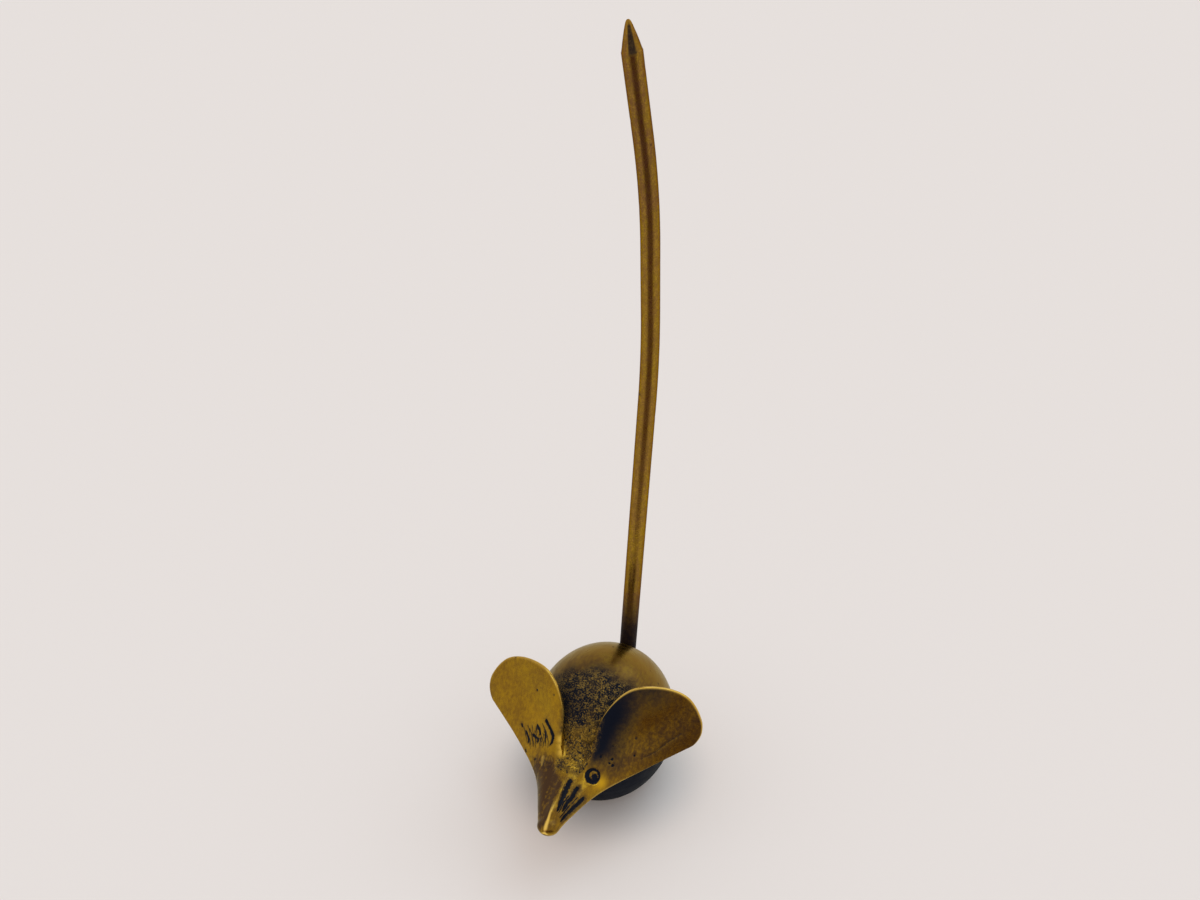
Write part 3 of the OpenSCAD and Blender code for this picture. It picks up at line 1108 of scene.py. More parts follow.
def brass(
    name, finish, clean, dull, stretch, roughness, cloud_scale, seed, brush=0.35, edge=(0.97, 0.9, 0.72)
):
    """Brass with clouds of tarnish, brushed lines, pinholes, dark patina in the hollows and bright wear, and
    the painted shade and highlights that its point values carry.

    The colours go from clean to dull, stretch draws out the brushing, brush is its depth and edge the
    tint of its grazing shine.
    """
    material, wire = bare_material(name)
    place = wire.add("ShaderNodeTexCoord").outputs["Object"]
    tarnish = wire.group("tarnish", {"Vector": place, "Cloud Scale": cloud_scale, "Seed": seed})
    brushing = wire.group("brushing", {"Vector": place, "Stretch": stretch})
    pinhole = wire.group("casting", {"Vector": place})["Pit"]
    grain = wire.group("speckle", {"Vector": place})["Grain"]
    cloud, mottle, lines = tarnish["Cloud"], tarnish["Mottle"], brushing["Lines"]
    patina_and_painted_shade, stipple = value_of(wire, "patina_and_painted_shade"), value_of(wire, "stipple")
    peaks = wire.math("MULTIPLY", stipple, grain)

    # The metal: tarnished, kept bright by handling and by painted highlights, and browned by tarnish and by
    # painted shade.
    tone = wire.weigh((cloud, 0.6), (mottle, 0.55), (lines, 0.45))
    metal = wire.blend(wire.math("SUBTRACT", tone, 0.18, clamp=True), (*clean, 1), (*dull, 1))
    metal = wire.blend(value_of(wire, "polish_and_painted_highlight"), metal, (*finish.polish, 1))
    streaks = wire.math("ADD", wire.weigh((mottle, 0.5), (lines, 0.45)), 0.38)
    brown_share = wire.math("MULTIPLY", value_of(wire, "brown"), streaks, clamp=True)
    metal = wire.blend(brown_share, metal, (*finish.brown, 1))

    # The dark: patina and painted shade that sway with the clouds where they are thin, hollows with the rod's
    # painted dark streak, and gaps in the stipple.
    clouds = wire.math("SUBTRACT", wire.weigh((mottle, 0.56), (cloud, 0.24)), 0.4)
    thin = wire.math("MULTIPLY", patina_and_painted_shade, wire.math("SUBTRACT", 1.0, patina_and_painted_shade, clamp=True))
    swayed = wire.math("ADD", patina_and_painted_shade, wire.math("MULTIPLY", thin, clouds), clamp=True)
    stain_and_painted_shade = wire.math("MULTIPLY", swayed, wire.less(peaks, 0.65))
    cavity = wire.remap(value_of(wire, "cavity"), 0.12, 0.6)
    hollow = wire.math("ADD", cavity, wire.math("MULTIPLY", pinhole, 0.8), clamp=True)
    gaps = wire.math("MULTIPLY", stipple, wire.math("SUBTRACT", 0.85, wire.math("MULTIPLY", grain, 0.85)))
    hollow = wire.math("MAXIMUM", hollow, gaps)
    dark = wire.math("MAXIMUM", stain_and_painted_shade, hollow)

    # The wear: bright rims and ridges, partly painted highlights, and the tops of the grains.
    held = wire.math("MAXIMUM", hollow, wire.math("SUBTRACT", stipple, peaks))
    rubbed_and_highlit = wire.math("MULTIPLY", value_of(wire, "wear"), wire.less(held, 0.9), clamp=True)
    rubbed_and_highlit = wire.math("MAXIMUM", rubbed_and_highlit, wire.math("MULTIPLY", peaks, 0.16))
    colour = wire.blend(dark, metal, (*finish.patina_and_painted_shade, 1))
    colour = wire.blend(rubbed_and_highlit, colour, (*finish.bright, 1))

    # The surface: rougher in the dark, smoother where it is rubbed and where highlights are painted.
    uneven = wire.weigh(
        (wire.math("SUBTRACT", cloud, 0.5), 0.14),
        (wire.math("SUBTRACT", lines, 0.5), 0.1),
        (dark, 0.3),
        (rubbed_and_highlit, -0.1),
    )
    height = wire.weigh((brushing["Height"], 1.0), (pinhole, -0.8), (mottle, 0.25), (peaks, 1.6))
    bump = wire.add("ShaderNodeBump", {"Strength": brush, "Distance": 0.00006, "Height": height})
    shader = wire.add(
        "ShaderNodeBsdfPrincipled",
        {
            "Base Color": colour,
            "Metallic": wire.less(dark, 0.7),
            "Roughness": wire.math("ADD", uneven, roughness, clamp=True),
            "Specular IOR Level": 0.08,
            "Specular Tint": (*edge, 1),
            "Normal": bump.outputs[0],
        },
    )
    wire.add("ShaderNodeOutputMaterial", {"Surface": shader.outputs[0]})
    return material


def place_piece(piece, node):
    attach(piece, "root")
    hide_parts(node)


def rod_foot(settings, egg):
    """Where the rod's middle line meets the egg, in millimetres."""
    x = settings.rod.foot_x / MM
    y = egg.half_length * settings.rod.foot_back
    return np.array((x, y, egg.top(x, y)))


def turn_x(a):
    c, s = math.cos(a), math.sin(a)
    return np.array(((1, 0, 0), (0, c, -s), (0, s, c)))


def turn_y(a):
    c, s = math.cos(a), math.sin(a)
    return np.array(((c, 0, s), (0, 1, 0), (-s, 0, c)))


def turn_z(a):
    c, s = math.cos(a), math.sin(a)
    return np.array(((c, -s, 0), (s, c, 0), (0, 0, 1)))


def body_rows(egg, body):
    """Rings of points from the top of the egg down over its flat foot, and the middle of the foot.

    The points of a ring stand closest at the head.
    """
    last = math.acos((LAST_RING - egg.middle_z) / egg.reach_down)
    theta = np.linspace(0, last, body.rings)[1:]
    even = np.arange(body.segments) * (2 * math.pi / body.segments)
    phi = even - math.pi / 2 - 0.5 * np.sin(even)
    rings = egg.skin(*np.meshgrid(theta, phi, indexing="ij"))
    flat = egg.skin(np.full(body.segments, math.acos(-egg.middle_z / egg.reach_down)), phi)
    middle = flat.mean(0)
    foot = []
    for inward, z in FOOT_EDGE:
        ring = flat - unit(flat - middle) * inward
        ring[:, 2] = z
        foot.append(ring)
    edge = foot[-1]
    for share in FOOT_RINGS:
        ring = middle + (edge - middle) * share
        ring[:, 2] = 0
        foot.append(ring)
    return np.concatenate((rings, np.array(foot))), middle


def closed_faces(count, around):
    """Faces of a stack of rings, closed by a point above it and one below, which follow the rings."""
    i, j = np.meshgrid(np.arange(count - 1), np.arange(around), indexing="ij")
    k = (j + 1) % around
    upper, lower = i * around, i * around + around
    faces = np.stack((upper + j, lower + j, lower + k, upper + k), -1).reshape(-1, 4).tolist()
    top, low, end = count * around, count * around + 1, (count - 1) * around
    for n in range(around):
        m = (n + 1) % around
        faces.append((top, n, m))
        faces.append((low, end + m, end + n))
    return faces


def body_tones(points, rims):
    """Point values of the egg: a dark belly of patina and painted shade under the head and ears, browned
    flanks, a chest kept bright, darker towards the foot, and a worn foot.
    """
    y, z = points[:, 1], points[:, 2]
    stipple, patina_and_painted_shade = skin_fields(points, rims)
    # Painted shade, partly patina: the low front of the egg under the head and ears is darkened.
    low = ease((24 + 1.2 * wobble(points, 13) - z) / 15)
    forward = ease((12 + 1.5 * wobble(points, 17) - y) / 22)
    belly = 1.15 * (1 - (1 - low * forward) ** 2)
    patina_and_painted_shade = np.maximum(np.maximum(patina_and_painted_shade, belly), 0.3 * ease((5 - z) / 5))
    chest = ease((-10.5 - y) / 6)
    flanks = 0.52 * ease((5 - y) / 6) * (1 - chest)
    return {
        "stipple": stipple,
        "patina_and_painted_shade": patina_and_painted_shade,
        "brown": np.maximum(0.25 * ease((9 - z) / 8), flanks),
        "polish_and_painted_highlight": 0.27 * chest,
        "wear": 0.35 * ease((0.6 - z) / 0.5),
    }


class BILLSPIKE_OT_body(bpy.types.Operator):
    """Make the egg-shaped body with its stippled back"""

    bl_idname = "billspike.body"
    bl_label = "Body"

    def execute(self, context):
        settings = context.scene.bill_spike
        body, finish = settings.body, settings.finish
        egg = Egg(body)
        rows, middle = body_rows(egg, body)
        top = egg.skin(np.array(0.0), np.array(0.0))
        points = np.concatenate((rows.reshape(-1, 3), top[None], [(middle[0], middle[1], 0)]))
        values = body_tones(points, HeadForm(settings.head, egg).rim_points())
        from_foot = np.linalg.norm(points - rod_foot(settings, egg), axis=-1)
        from_rod = from_foot - settings.rod.diameter / MM / 2
        on_back = points[:, 2] > egg.middle_z
        crevice = ease((CREVICE_REACH - from_rod) / CREVICE_FADE) * on_back
        points[:, 2] -= CREVICE_DEPTH * crevice
        piece = new_piece("body_skin", points, closed_faces(*rows.shape[:2]), carved=crevice, **values)
        material = brass(
            "body_brass",
            finish,
            clean=finish.olive,
            dull=finish.bronze,
            stretch=(0.12, 0.12, 1.6),
            roughness=0.33,
            cloud_scale=130.0,
            seed=2.0,
            edge=(0.95, 0.87, 0.66),
        )
        run_tree(
            piece,
            shared_tree("chased_skin"),
            pit_size=body.pit_size,
            pit_depth=body.pit_depth,
            seed=SKIN_SEED,
            material=material,
        )
        place_piece(piece, "body")
        return {"FINISHED"}


class HeadSkin:
    """The head's two surfaces over u and v, with what is cut into the front and how it has tarnished."""

    def __init__(self, head, form):
        self.form = form
        u = np.concatenate((np.linspace(*EVEN_ROWS, head.rows - len(RIM_ROWS)), 1 - RIM_ROWS))
        v = np.concatenate((np.linspace(*EVEN_COLUMNS, head.columns - len(RIM_ROWS)), 1 - RIM_ROWS))
        uu, vv = np.meshgrid(u, v, indexing="ij")
        corner = np.clip((vv - 0.93) / 0.07, 0, 1)
        uu = uu * (1 - 0.033 * (1 - np.sqrt(1 - corner**2)) * ease((uu - 0.6) / 0.4))
        face, back, rim_wear = self.round_rims(head, uu, vv)
        self.u, self.v, self.rim_wear = self.whole(uu), self.whole(vv), self.whole(rim_wear)
        self.face = round_nose(self.whole(face, flip=True))
        self.back = round_nose(self.whole(back, flip=True))
        self.normal = unit(np.cross(np.gradient(self.face, axis=1), np.gradient(self.face, axis=0)))
        self.normal *= np.sign((self.normal * (self.face - self.back)).sum(-1, keepdims=True))
        self.depth, self.carved, self.smudge = (np.zeros(self.u.shape) for _ in range(3))

    def round_rims(self, head, uu, vv):
        """Rounds the rims of the left half, and finds how far they are worn."""
        face = self.form.face(uu, vv)
        back = self.form.back(uu, vv, face)
        step_u = np.linalg.norm(np.diff(face, axis=0), axis=-1)
        step_v = np.linalg.norm(np.diff(face, axis=1), axis=-1)
        to_rim = np.pad(np.cumsum(step_u[::-1], 0)[::-1], ((0, 1), (0, 0)))
        to_edge = np.pad(np.cumsum(step_v[:, ::-1], 1)[:, ::-1], ((0, 0), (0, 1)))
        free = ease((vv - 0.1) / 0.08)
        away = np.minimum(np.where(free > 0.02, to_rim, 9), to_edge)
        r = head.rim_round / MM * self.form.wall_at(uu) / self.form.wall * np.maximum(free, 1e-3)
        drop = r - np.sqrt(np.maximum(r * r - (r - np.minimum(away, r)) ** 2, 0))
        inset = unit(face - back) * drop[..., None]
        rim_wear = ease((0.6 - away) / 0.5) * np.maximum(free, ease((0.7 - uu) / 0.1))
        return face - inset, back + inset, rim_wear * np.where(to_rim < to_edge, 1, 0.65)

    @staticmethod
    def whole(left, flip=False):
        """Both halves from the left one; points are flipped over."""
        right = left[:, :0:-1].copy()
        if flip:
            right[..., 0] *= -1
        return np.concatenate((right, left), 1)

    def cut(self, shape, deep, fill):
        """Cuts a shape, 1 where it is deepest, and fills it with dark."""
        self.depth = np.maximum(self.depth, shape * deep)
        self.carved = np.maximum(self.carved, shape * fill)

    def smear(self, amount):
        """Leaves tarnish beside a cut."""
        self.smudge = np.maximum(self.smudge, amount)

    def stroke(self, points, width):
        return stroke_cut(self.face, self.normal, points, width)

    def near(self, centre, reach):
        """1 at the centre, fading to 0 at its reach."""
        return ease(1 - np.linalg.norm(self.face - centre, axis=-1) / reach)

    def engrave(self):
        """Whiskers, hair strokes, single pits and eyes."""
        for points, width, deep, fill in (*WHISKERS, *HAIR_STROKES, *comb_strokes()):
            self.cut(self.stroke(points, width), deep, fill)
            self.smear(self.stroke(points, width + SMEAR_REACH) * deep * 2)
        for centre, width in SMALL_PITS:
            self.cut(pit_cut(self.face, centre, width), SMALL_PIT_DEPTH, SMALL_PIT_FILL)
        for centre, way, deep, fill in EYES:
            ring, dome = eye_cut(self.face, centre, way)
            self.cut(ring, deep, fill)
            self.depth = self.depth - EYE_DOME * dome
            self.smear((1 - fill) * 0.65 * np.sqrt(dome))

    def pit_forehead(self, brow):
        """Scatters small pits over the forehead's stipple."""
        x, y = self.face[..., 0], self.face[..., 1]
        random = np.random.default_rng(FOREHEAD_SEED)
        spots = np.argwhere((brow > 0.5) & (x > -2.2) & (y < -17.5))
        for row, column in spots[random.choice(len(spots), FOREHEAD_PITS, replace=False)]:
            pit = pit_cut(self.face, self.face[row, column], random.uniform(*FOREHEAD_PIT_WIDTHS))
            self.cut(pit, FOREHEAD_PIT_DEPTH, FOREHEAD_PIT_FILL)

    def file_neck(self):
        """Shallow file marks across the neck, where the forehead meets the body."""
        x, y, z = self.face[..., 0], self.face[..., 1], self.face[..., 2]
        filed = ease((4.2 - np.abs(x)) / 1.5) * ease((y + 22) / 1.5) * ease((-17.2 - y) / 1)
        marks = 0.5 + 0.5 * np.sin((y - z) * 7.5 + 2 * wobble(self.face, 3))
        self.depth = self.depth + FILE_DEPTH * filed * marks

    def sink(self):
        """Carries the cuts out, less where the forehead thins out over the body."""
        solid = ease((0.9 - self.u) / 0.05) + ease((self.v - 0.2) / 0.05)
        self.face = self.face - self.normal * (self.depth * np.clip(solid + 0.3, 0, 1))[..., None]

    def ear_shade(self, rims, x):
        """Painted shade and painted dark reflection inside the left ear only, from its root along its inner
        rim.
        """
        inner = np.linalg.norm(self.face[..., None, :] - rims[::2], axis=-1)
        root = np.clip(0.95 - (inner[..., :7].min(-1) - 2.4) / 6.4, 0, 0.95)
        upper = 0.65 * np.clip(1 - inner[..., 7:16].min(-1) / 7, 0, 1)
        outer = 0.1 * np.clip(1 - inner[..., 16:].min(-1) / 5, 0, 1)
        shade = 1 - ((1 - root) * (1 - upper) * (1 - outer)) ** 2
        return shade * ease((x - 3) / 1.6) * ease((self.u - 0.56) / 0.22) * (1 - 0.7 * self.rim_wear)

    def brown_and_painted_shade(self, x, left):
        """Brown painted shade on the shaded right cheek and in the lower half of the left ear's cup, and
        brown along the snout.
        """
        u, v = self.u, self.v
        # Painted shade in brown: the right cheek and the lower half of the left ear's cup.
        cheek = ease((0.72 - u) / 0.12) * ease((0.5 - x) / 1) * ease((u - 0.14) / 0.12)
        hollow = mix(0.05, 0.8, ease((v - 0.5) / 0.4)) * ease((u - 0.55) / 0.2) * left
        hollow = hollow * (1 - 0.55 * ease((v - 0.78) / 0.18))
        snout = 0.45 * ease((0.5 - u) / 0.1) * ease((u - 0.14) / 0.1)
        return np.maximum(np.maximum(1.3 * cheek, hollow), snout)

    def worn(self, left, ridge, glint):
        """Bright worn rims; the crest of the snout, the nose and the ridge, worn bright and painted as
        highlights; and the glint by the right eye.
        """
        u, v = self.u, self.v
        # Painted highlight, on brass worn bright there, along the narrow crest of the snout and on the nose.
        crest_wide = mix(0.34, 0.1, ease((u - 0.15) / 0.25))
        crest = ease((crest_wide - v) / (0.8 * crest_wide)) * ease((0.5 - u) / 0.2)
        wear = np.maximum(self.rim_wear * mix(0.32, 0.6, left), crest)
        wear = np.maximum(wear, ease((0.13 - u) / 0.08))
        return np.maximum(wear, np.maximum(0.5 * ridge**2, 0.35 * glint))

    def dress(self):
        """Cuts the front and gives every point value: front, back and the tip of the nose."""
        x, y = self.face[..., 0], self.face[..., 1]
        left = ease((x - 0.5) / 2)
        self.engrave()
        brow = ease((5.4 - np.abs(x)) / 2) * ease((y + 25.6) / 2.5) * ease((0.45 - self.v) / 0.2)
        self.pit_forehead(brow)
        ridge = np.max([self.near(centre, RIDGE_REACH) for centre in ROOT_RIDGE], 0)
        glint = self.stroke(EYE_GLINT, 1)
        self.depth = self.depth - RIDGE_RISE * ridge
        rims = self.form.rim_points()
        stipple, patina_and_painted_shade = skin_fields(self.face, rims)
        grit = np.clip(0.7 * self.smudge, 0, 0.5) * (1 - self.carved)
        stipple = np.maximum(stipple * brow, grit) * (1 - ridge)
        self.file_neck()
        self.sink()
        # Painted highlight on the ridge, partly polish; the gleams are kept bright by handling.
        polish_and_painted_highlight = 0.95 * ridge
        for centre, reach, most in GLEAMS:
            polish_and_painted_highlight = np.maximum(polish_and_painted_highlight, most * self.near(centre, reach))
        smudged = np.clip(mix(0.5, 1.1, left) * self.smudge, 0, mix(0.4, 0.8, left))
        # Painted shade inside the left ear joins the tarnish beside the cuts and the patina of the brow.
        patina_and_painted_shade = np.maximum(np.maximum(smudged, self.ear_shade(rims, x)), patina_and_painted_shade * brow)
        patina_and_painted_shade = np.clip(patina_and_painted_shade, 0, 1.3) * (1 - polish_and_painted_highlight)
        unworn = 1 - 0.8 * self.rim_wear
        blank = np.zeros(self.u.shape)
        fields = {
            "stipple": (stipple, blank, 0),
            "carved": (self.carved, blank, 0),
            "patina_and_painted_shade": (patina_and_painted_shade, 0.75 * ease((self.u - 0.15) / 0.3) * unworn, 0),
            "brown": (self.brown_and_painted_shade(x, left) * unworn * (1 - polish_and_painted_highlight), np.full(self.u.shape, 0.4), 0),
            "polish_and_painted_highlight": (polish_and_painted_highlight, blank, 0),
            "wear": (self.worn(left, ridge, glint), self.rim_wear * 0.8, 1),
        }
        return {key: np.concatenate((a.ravel(), b.ravel(), [c])) for key, (a, b, c) in fields.items()}

    def points(self):
        tip = round_nose(self.form.world(NOSE))
        return np.concatenate((self.face.reshape(-1, 3), self.back.reshape(-1, 3), tip[None]))

    def faces(self):
        """Front, back, the strip round the rims and the fan at the tip of the nose."""
        count, across = self.u.shape
        half = count * across
        front = grid_faces(count, across)
        behind = grid_faces(count, across, half)[:, ::-1]
        n = np.arange(across - 1) + (count - 1) * across
        rim = np.stack((n, half + n, half + n + 1, n + 1), -1)
        m = np.arange(count - 1) * across
        right = np.stack((m, half + m, half + m + across, m + across), -1)
        e = m + across - 1
        left = np.stack((e, e + across, half + e + across, half + e), -1)
        faces = np.concatenate((front, behind, rim, right, left)).tolist()
        tip = 2 * half
        faces += [(tip, k, k + 1) for k in range(across - 1)]
        faces += [(tip, half + k + 1, half + k) for k in range(across - 1)]
        return faces + [(tip, half, 0), (tip, across - 1, half + across - 1)]


class BILLSPIKE_OT_head(bpy.types.Operator):
    """Make the head with its ears, eyes, whiskers and hair strokes"""

    bl_idname = "billspike.head"
    bl_label = "Head"

    def execute(self, context):
        settings = context.scene.bill_spike
        body, finish = settings.body, settings.finish
        skin = HeadSkin(settings.head, HeadForm(settings.head, Egg(body)))
        values = skin.dress()
        piece = new_piece("head_casting", skin.points(), skin.faces(), **values)
        material = brass(
            "head_brass",
            finish,
            clean=finish.gold,
            dull=finish.bronze,
            stretch=(1.0, 0.12, 0.5),
            roughness=0.27,
            cloud_scale=170.0,
            seed=5.0,
            brush=0.6,
        )
        run_tree(
            piece,
            shared_tree("chased_skin"),
            pit_size=body.pit_size,
            pit_depth=body.pit_depth * 0.8,
            seed=SKIN_SEED,
            material=material,
        )
        place_piece(piece, "head")
        return {"FINISHED"}


class RodPath:
    """The middle line of the rod in millimetres, drawn from its foot to its point."""

    def __init__(self, at, turn):
        self.at, self.turn = at, turn
        self.points, self.widths = [], []

    def add(self, place, width=1.0):
        """One point, at a place seen along the rod, with its share of the rod's width."""
        self.points.append(self.at + self.turn @ place)
        self.widths.append(width)

    def straight(self, length, start, count):
        """A straight stretch, with its points from a start along it to its end."""
        for s in np.linspace(start, length, count):
            self.add((0, 0, s))
        self.at = self.at + self.turn @ (0, 0, length)

    def bend(self, radius, angle, count):
        """An arc from the end of the last stretch, which turns what follows."""
        for a in np.linspace(0, angle, count)[1:]:
            self.add((radius * (1 - math.cos(a)), 0, radius * math.sin(a)))
        self.at = self.points[-1]
        self.turn = self.turn @ turn_y(angle)

    def taper(self, length, profile):
        for share, width in profile:
            self.add((0, 0, share * length), width)


def rod_path(rod, at):
    path = RodPath(at, turn_y(rod.lean) @ turn_x(-rod.lean_back) @ turn_z(rod.bend_turn))
    path.straight(rod.low / MM, ROD_START, ROD_POINTS["low"])
    path.bend(rod.radius_1 / MM, rod.bend_1, ROD_POINTS["bend_1"])
    path.straight(rod.middle / MM, ROD_STEP, ROD_POINTS["middle"])
    path.bend(rod.radius_2 / MM, rod.bend_2, ROD_POINTS["bend_2"])
    path.straight(rod.top / MM, ROD_STEP, ROD_POINTS["top"])
    path.taper(rod.point / MM, POINT_PROFILE)
    return path


def rod_tones(points):
    """Point values of the rod: a painted dark reflection at its foot and as a streak down its point, a little
    darker on the point, its shaft and tip kept bright.
    """
    foot = np.linalg.norm(points - points[0], axis=1)
    high = points[:, 2] / points[:, 2].max()
    # Painted reflection of the dark back and ears: darker within some way of the foot.
    clear = 1 - 0.72 * np.clip((20 - foot) / 11, 0, 1)
    low_clear = 1 - 0.2 * ease((38 - foot) / 20)
    point_clear = 1 - 0.15 * ease((high - 0.965) / 0.008)
    shaft_gilt = 0.2 * ease((high - 0.2) / 0.15) * ease((0.85 - high) / 0.15)
    return {
        "patina_and_painted_shade": 1 - clear**2 * low_clear * point_clear,
        # Painted reflection: the dark streak down the point.
        "streak": 0.49 * ease((high - 0.963) / 0.004) * ease((1 - high) / 0.006),
        "brown": np.full(len(points), 0.15),
        "polish_and_painted_highlight": shaft_gilt + 0.3 * ease((high - 0.98) / 0.02),
        "stipple": 0.25 * clear,
    }


class BILLSPIKE_OT_rod(bpy.types.Operator):
    """Make the bent rod with its turned point"""

    bl_idname = "billspike.rod"
    bl_label = "Spike"

    def execute(self, context):
        settings = context.scene.bill_spike
        rod, finish = settings.rod, settings.finish
        path = rod_path(rod, rod_foot(settings, Egg(settings.body)))
        points = np.array(path.points)
        mesh = bpy.data.meshes.new("spike_rod")
        mesh.from_pydata((points * MM).tolist(), [(k, k + 1) for k in range(len(points) - 1)], [])
        add_values(mesh, {"thickness": np.array(path.widths) * rod.diameter / 2, **rod_tones(points)})
        piece = new_object(mesh)
        material = brass(
            "rod_brass",
            finish,
            clean=finish.gold,
            dull=finish.russet,
            stretch=(1.0, 1.0, 0.06),
            roughness=0.2,
            cloud_scale=210.0,
            seed=9.0,
            brush=0.3,
            edge=(0.4, 0.32, 0.2),
        )
        run_tree(
            piece,
            shared_tree("drawn_rod"),
            sides=rod.sides,
            dent_depth=DENT_DEPTH,
            streak_side=(math.sin(rod.streak_turn), -math.cos(rod.streak_turn), 0.0),
            seed=ROD_SEED,
            material=material,
        )
        place_piece(piece, "spike")
        return {"FINISHED"}


class BILLSPIKE_OT_dowel(bpy.types.Operator):
    """Give the hidden neck dowel its brass"""

    bl_idname = "billspike.dowel"
    bl_label = "Neck Dowel"

    def execute(self, context):
        finish = context.scene.bill_spike.finish
        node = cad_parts["neck_dowel"]
        material = brass(
            "dowel_brass",
            finish,
            clean=finish.gold,
            dull=finish.bronze,
            stretch=(1.0, 0.06, 1.0),
            roughness=0.34,
            cloud_scale=300.0,
            seed=4.0,
        )
        node.data.materials.clear()
        node.data.materials.append(material)
        return {"FINISHED"}


class BILLSPIKE_OT_stage(bpy.types.Operator):
    """Make the floor, the light and the camera"""

    bl_idname = "billspike.stage"
    bl_label = "Stage"

    # Half the floor's width in metres, and how far it lies under the foot.
    HALF_FLOOR, FLOOR_DROP = 60.0, 0.00002

    # The room that lights the object, and its colours low and high up as the metal mirrors them.
    ROOM_LIGHT = (0.85, 0.835, 0.825, 1)
    ROOM_LOW, ROOM_HIGH = (0.88, 0.85, 0.82, 1), (0.78, 0.77, 0.76, 1)

    # The dark side of it that the metal mirrors around the camera: colours, where it starts and is full
    # by its direction, and on the floor also by its distance ahead in metres.
    DARK_FLOOR, DARK_ROOM = (0.16, 0.09, 0.17, 1), (0.2, 0.13, 0.2, 1)
    DARK_TOWARD = (0.66, 0.95)
    DARK_FROM = (0.055, 0.12)

    # The lift of the floor as the camera sees it: painted light, a warm glow standing in for light bounced
    # off the brass into the shadows, dimmer within a short way of the foot as a painted contact shadow, in
    # metres.
    LIFT, LIFT_COLOUR = 0.27, (0.8, 0.58, 0.45, 1)
    LIFT_NEAR, LIFT_FAR, LIFT_DIM = 0.014, 0.028, 0.3

    # The way to the broad lamp, and its colour.
    LAMP_PLACE, LAMP_COLOUR = (0.25, 0.4, 0.7), (0.7, 0.9, 1)

    # The camera's sensor in millimetres, and the nearest and farthest that it sees in metres.
    SENSOR_WIDTH = 36
    NEAREST, FARTHEST = 0.005, 200

    def floor(self, stage, front):
        wide = self.HALF_FLOOR
        corners = [(-wide, -wide, 0), (wide, -wide, 0), (wide, wide, 0), (-wide, wide, 0)]
        mesh = bpy.data.meshes.new("floor")
        mesh.from_pydata(corners, [], [(0, 1, 2, 3)])
        floor = new_object(mesh)
        floor.location.z = -self.FLOOR_DROP
        material, wire = bare_material("floor_paper")
        place = wire.add("ShaderNodeTexCoord").outputs["Object"]
        rays = wire.add("ShaderNodeLightPath").outputs
        pale = wire.add("ShaderNodeBsdfDiffuse", {"Color": (*stage.floor, 1)}).outputs[0]
        dim = wire.add("ShaderNodeBsdfDiffuse", {"Color": self.DARK_FLOOR}).outputs[0]
        ahead = wire.measure("DOT_PRODUCT", place, front)
        toward = wire.measure("DOT_PRODUCT", wire.vector("NORMALIZE", place), front)
        near_edge = wire.remap(ahead, *self.DARK_FROM)
        fade = wire.math("MULTIPLY", near_edge, wire.remap(toward, *self.DARK_TOWARD))
        fade = wire.math("MULTIPLY", fade, rays["Is Glossy Ray"])
        both = wire.add("ShaderNodeMixShader", {0: fade, 1: pale, 2: dim}).outputs[0]
        # Painted contact shadow: the glow dims within a short way of the foot.
        away = wire.measure("LENGTH", place)
        strength = wire.remap(away, self.LIFT_NEAR, self.LIFT_FAR, self.LIFT_DIM, 1.0)
        glow = wire.add("ShaderNodeEmission", {"Color": self.LIFT_COLOUR, "Strength": strength}).outputs[0]
        lifted = wire.math("MULTIPLY", rays["Is Camera Ray"], self.LIFT)
        both = wire.add("ShaderNodeMixShader", {0: lifted, 1: both, 2: glow}).outputs[0]
        wire.add("ShaderNodeOutputMaterial", {"Surface": both})
        mesh.materials.append(material)

    def world(self, stage, front):
        world = bpy.data.worlds.new("studio")
        world.use_nodes = True
        world.node_tree.nodes.clear()
        wire = Wiring(world.node_tree)
        way = wire.add("ShaderNodeTexCoord").outputs["Generated"]
        rays = wire.add("ShaderNodeLightPath").outputs
        ahead = wire.remap(wire.measure("DOT_PRODUCT", way, front), *self.DARK_TOWARD)
        height = wire.add("ShaderNodeSeparateXYZ", {0: way}).outputs["Z"]
        dark = wire.math("MULTIPLY", ahead, wire.remap(height, 0.1, 0.5, 1.0, 0.4))
        room = wire.blend(wire.remap(height, -0.1, 0.9), self.ROOM_LOW, self.ROOM_HIGH)
        mirrored = wire.blend(dark, room, self.DARK_ROOM)
        lit = wire.blend(rays["Is Glossy Ray"], self.ROOM_LIGHT, mirrored)
        colour = wire.blend(rays["Is Camera Ray"], lit, (*stage.backdrop, 1))
        back = wire.add("ShaderNodeBackground", {"Color": colour, "Strength": 1.0}).outputs[0]
        wire.add("ShaderNodeOutputWorld", {"Surface": back})
        bpy.context.scene.world = world

    def lamp(self, stage):
        data = bpy.data.lights.new("broad_lamp", "SUN")
        data.energy = stage.lamp_strength
        data.angle = stage.lamp_spread
        data.color = self.LAMP_COLOUR
        lamp = new_object(data)
        lamp.location = self.LAMP_PLACE
        lamp.rotation_euler = Vector(self.LAMP_PLACE).to_track_quat("Z", "Y").to_euler()

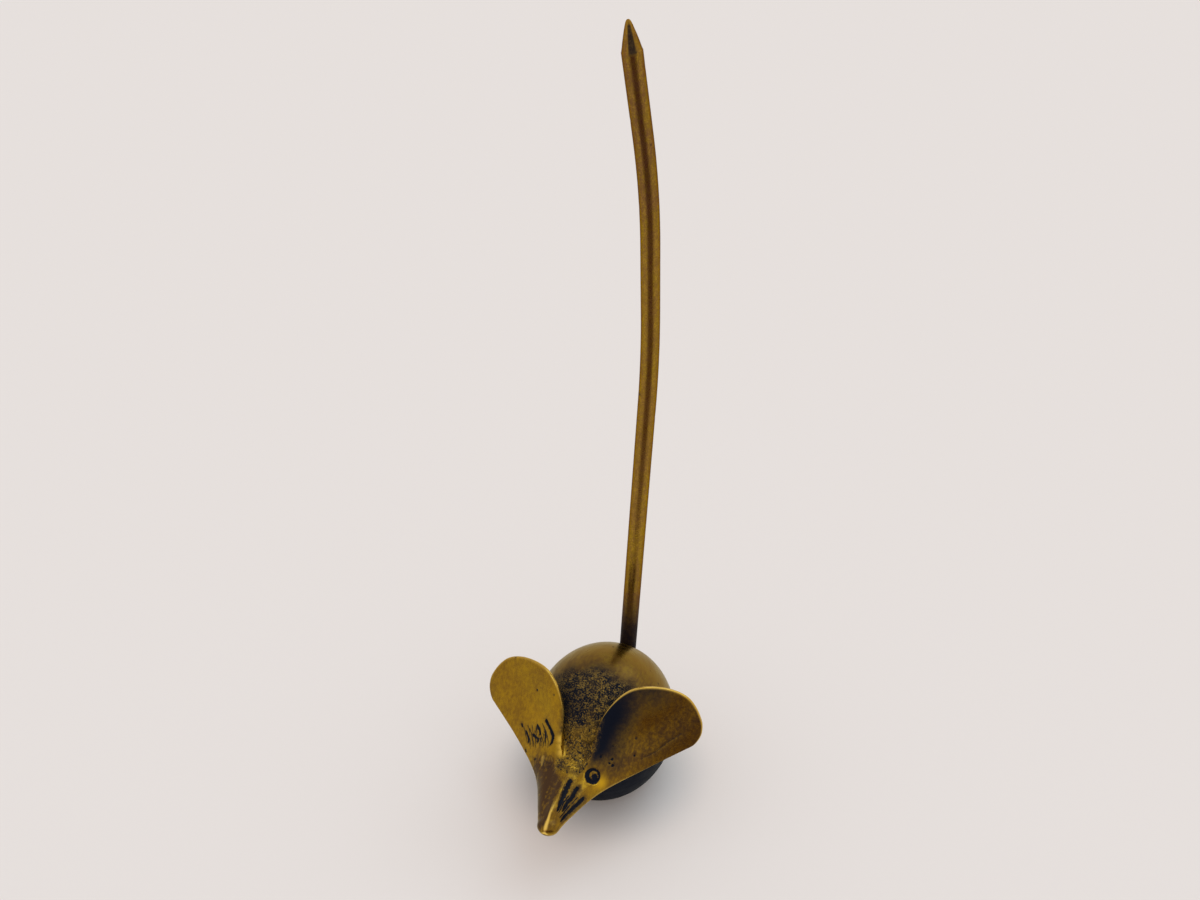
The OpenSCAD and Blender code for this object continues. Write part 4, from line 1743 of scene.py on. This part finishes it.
    def camera(self, stage):
        data = bpy.data.cameras.new("photo_view")
        data.sensor_fit = "HORIZONTAL"
        data.sensor_width = self.SENSOR_WIDTH
        data.lens = stage.lens
        data.clip_start = self.NEAREST
        data.clip_end = self.FARTHEST
        camera = new_object(data)
        camera.location = stage.eye
        camera.rotation_euler = (math.pi / 2 - stage.pitch, 0, stage.yaw)
        bpy.context.scene.camera = camera

    def execute(self, context):
        stage = context.scene.bill_spike.stage
        front = (math.sin(stage.yaw), -math.cos(stage.yaw), 0.0)
        self.floor(stage, front)
        self.world(stage, front)
        self.lamp(stage)
        self.camera(stage)
        context.scene.view_settings.view_transform = "Standard"
        return {"FINISHED"}


class BILLSPIKE_PT_sidebar(bpy.types.Panel):
    """Lists the settings of the bill spike and the steps that make it."""

    bl_idname = "BILLSPIKE_PT_sidebar"
    bl_label = "Bill Spike"
    bl_space_type = "VIEW_3D"
    bl_region_type = "UI"
    bl_category = "Bill Spike"

    def draw(self, context):
        settings = context.scene.bill_spike
        for part in ("body", "head", "rod", "finish", "stage"):
            box = self.layout.box()
            box.label(text=part.title())
            group = getattr(settings, part)
            for key in group.__annotations__:
                box.prop(group, key)
        for step in STEPS:
            self.layout.operator(step.bl_idname)


STEPS = (BILLSPIKE_OT_body, BILLSPIKE_OT_head, BILLSPIKE_OT_rod, BILLSPIKE_OT_dowel, BILLSPIKE_OT_stage)
CLASSES = (
    BodySettings,
    HeadSettings,
    RodSettings,
    FinishSettings,
    StageSettings,
    BillSpikeSettings,
    *STEPS,
    BILLSPIKE_PT_sidebar,
)


def register():
    for cls in CLASSES:
        bpy.utils.register_class(cls)
    bpy.types.Scene.bill_spike = PointerProperty(type=BillSpikeSettings)


def unregister():
    del bpy.types.Scene.bill_spike
    for cls in reversed(CLASSES):
        bpy.utils.unregister_class(cls)


def main():
    register()
    bpy.ops.billspike.body()
    bpy.ops.billspike.head()
    bpy.ops.billspike.rod()
    bpy.ops.billspike.dowel()
    bpy.ops.billspike.stage()


if __name__ == "__main__":
    main()
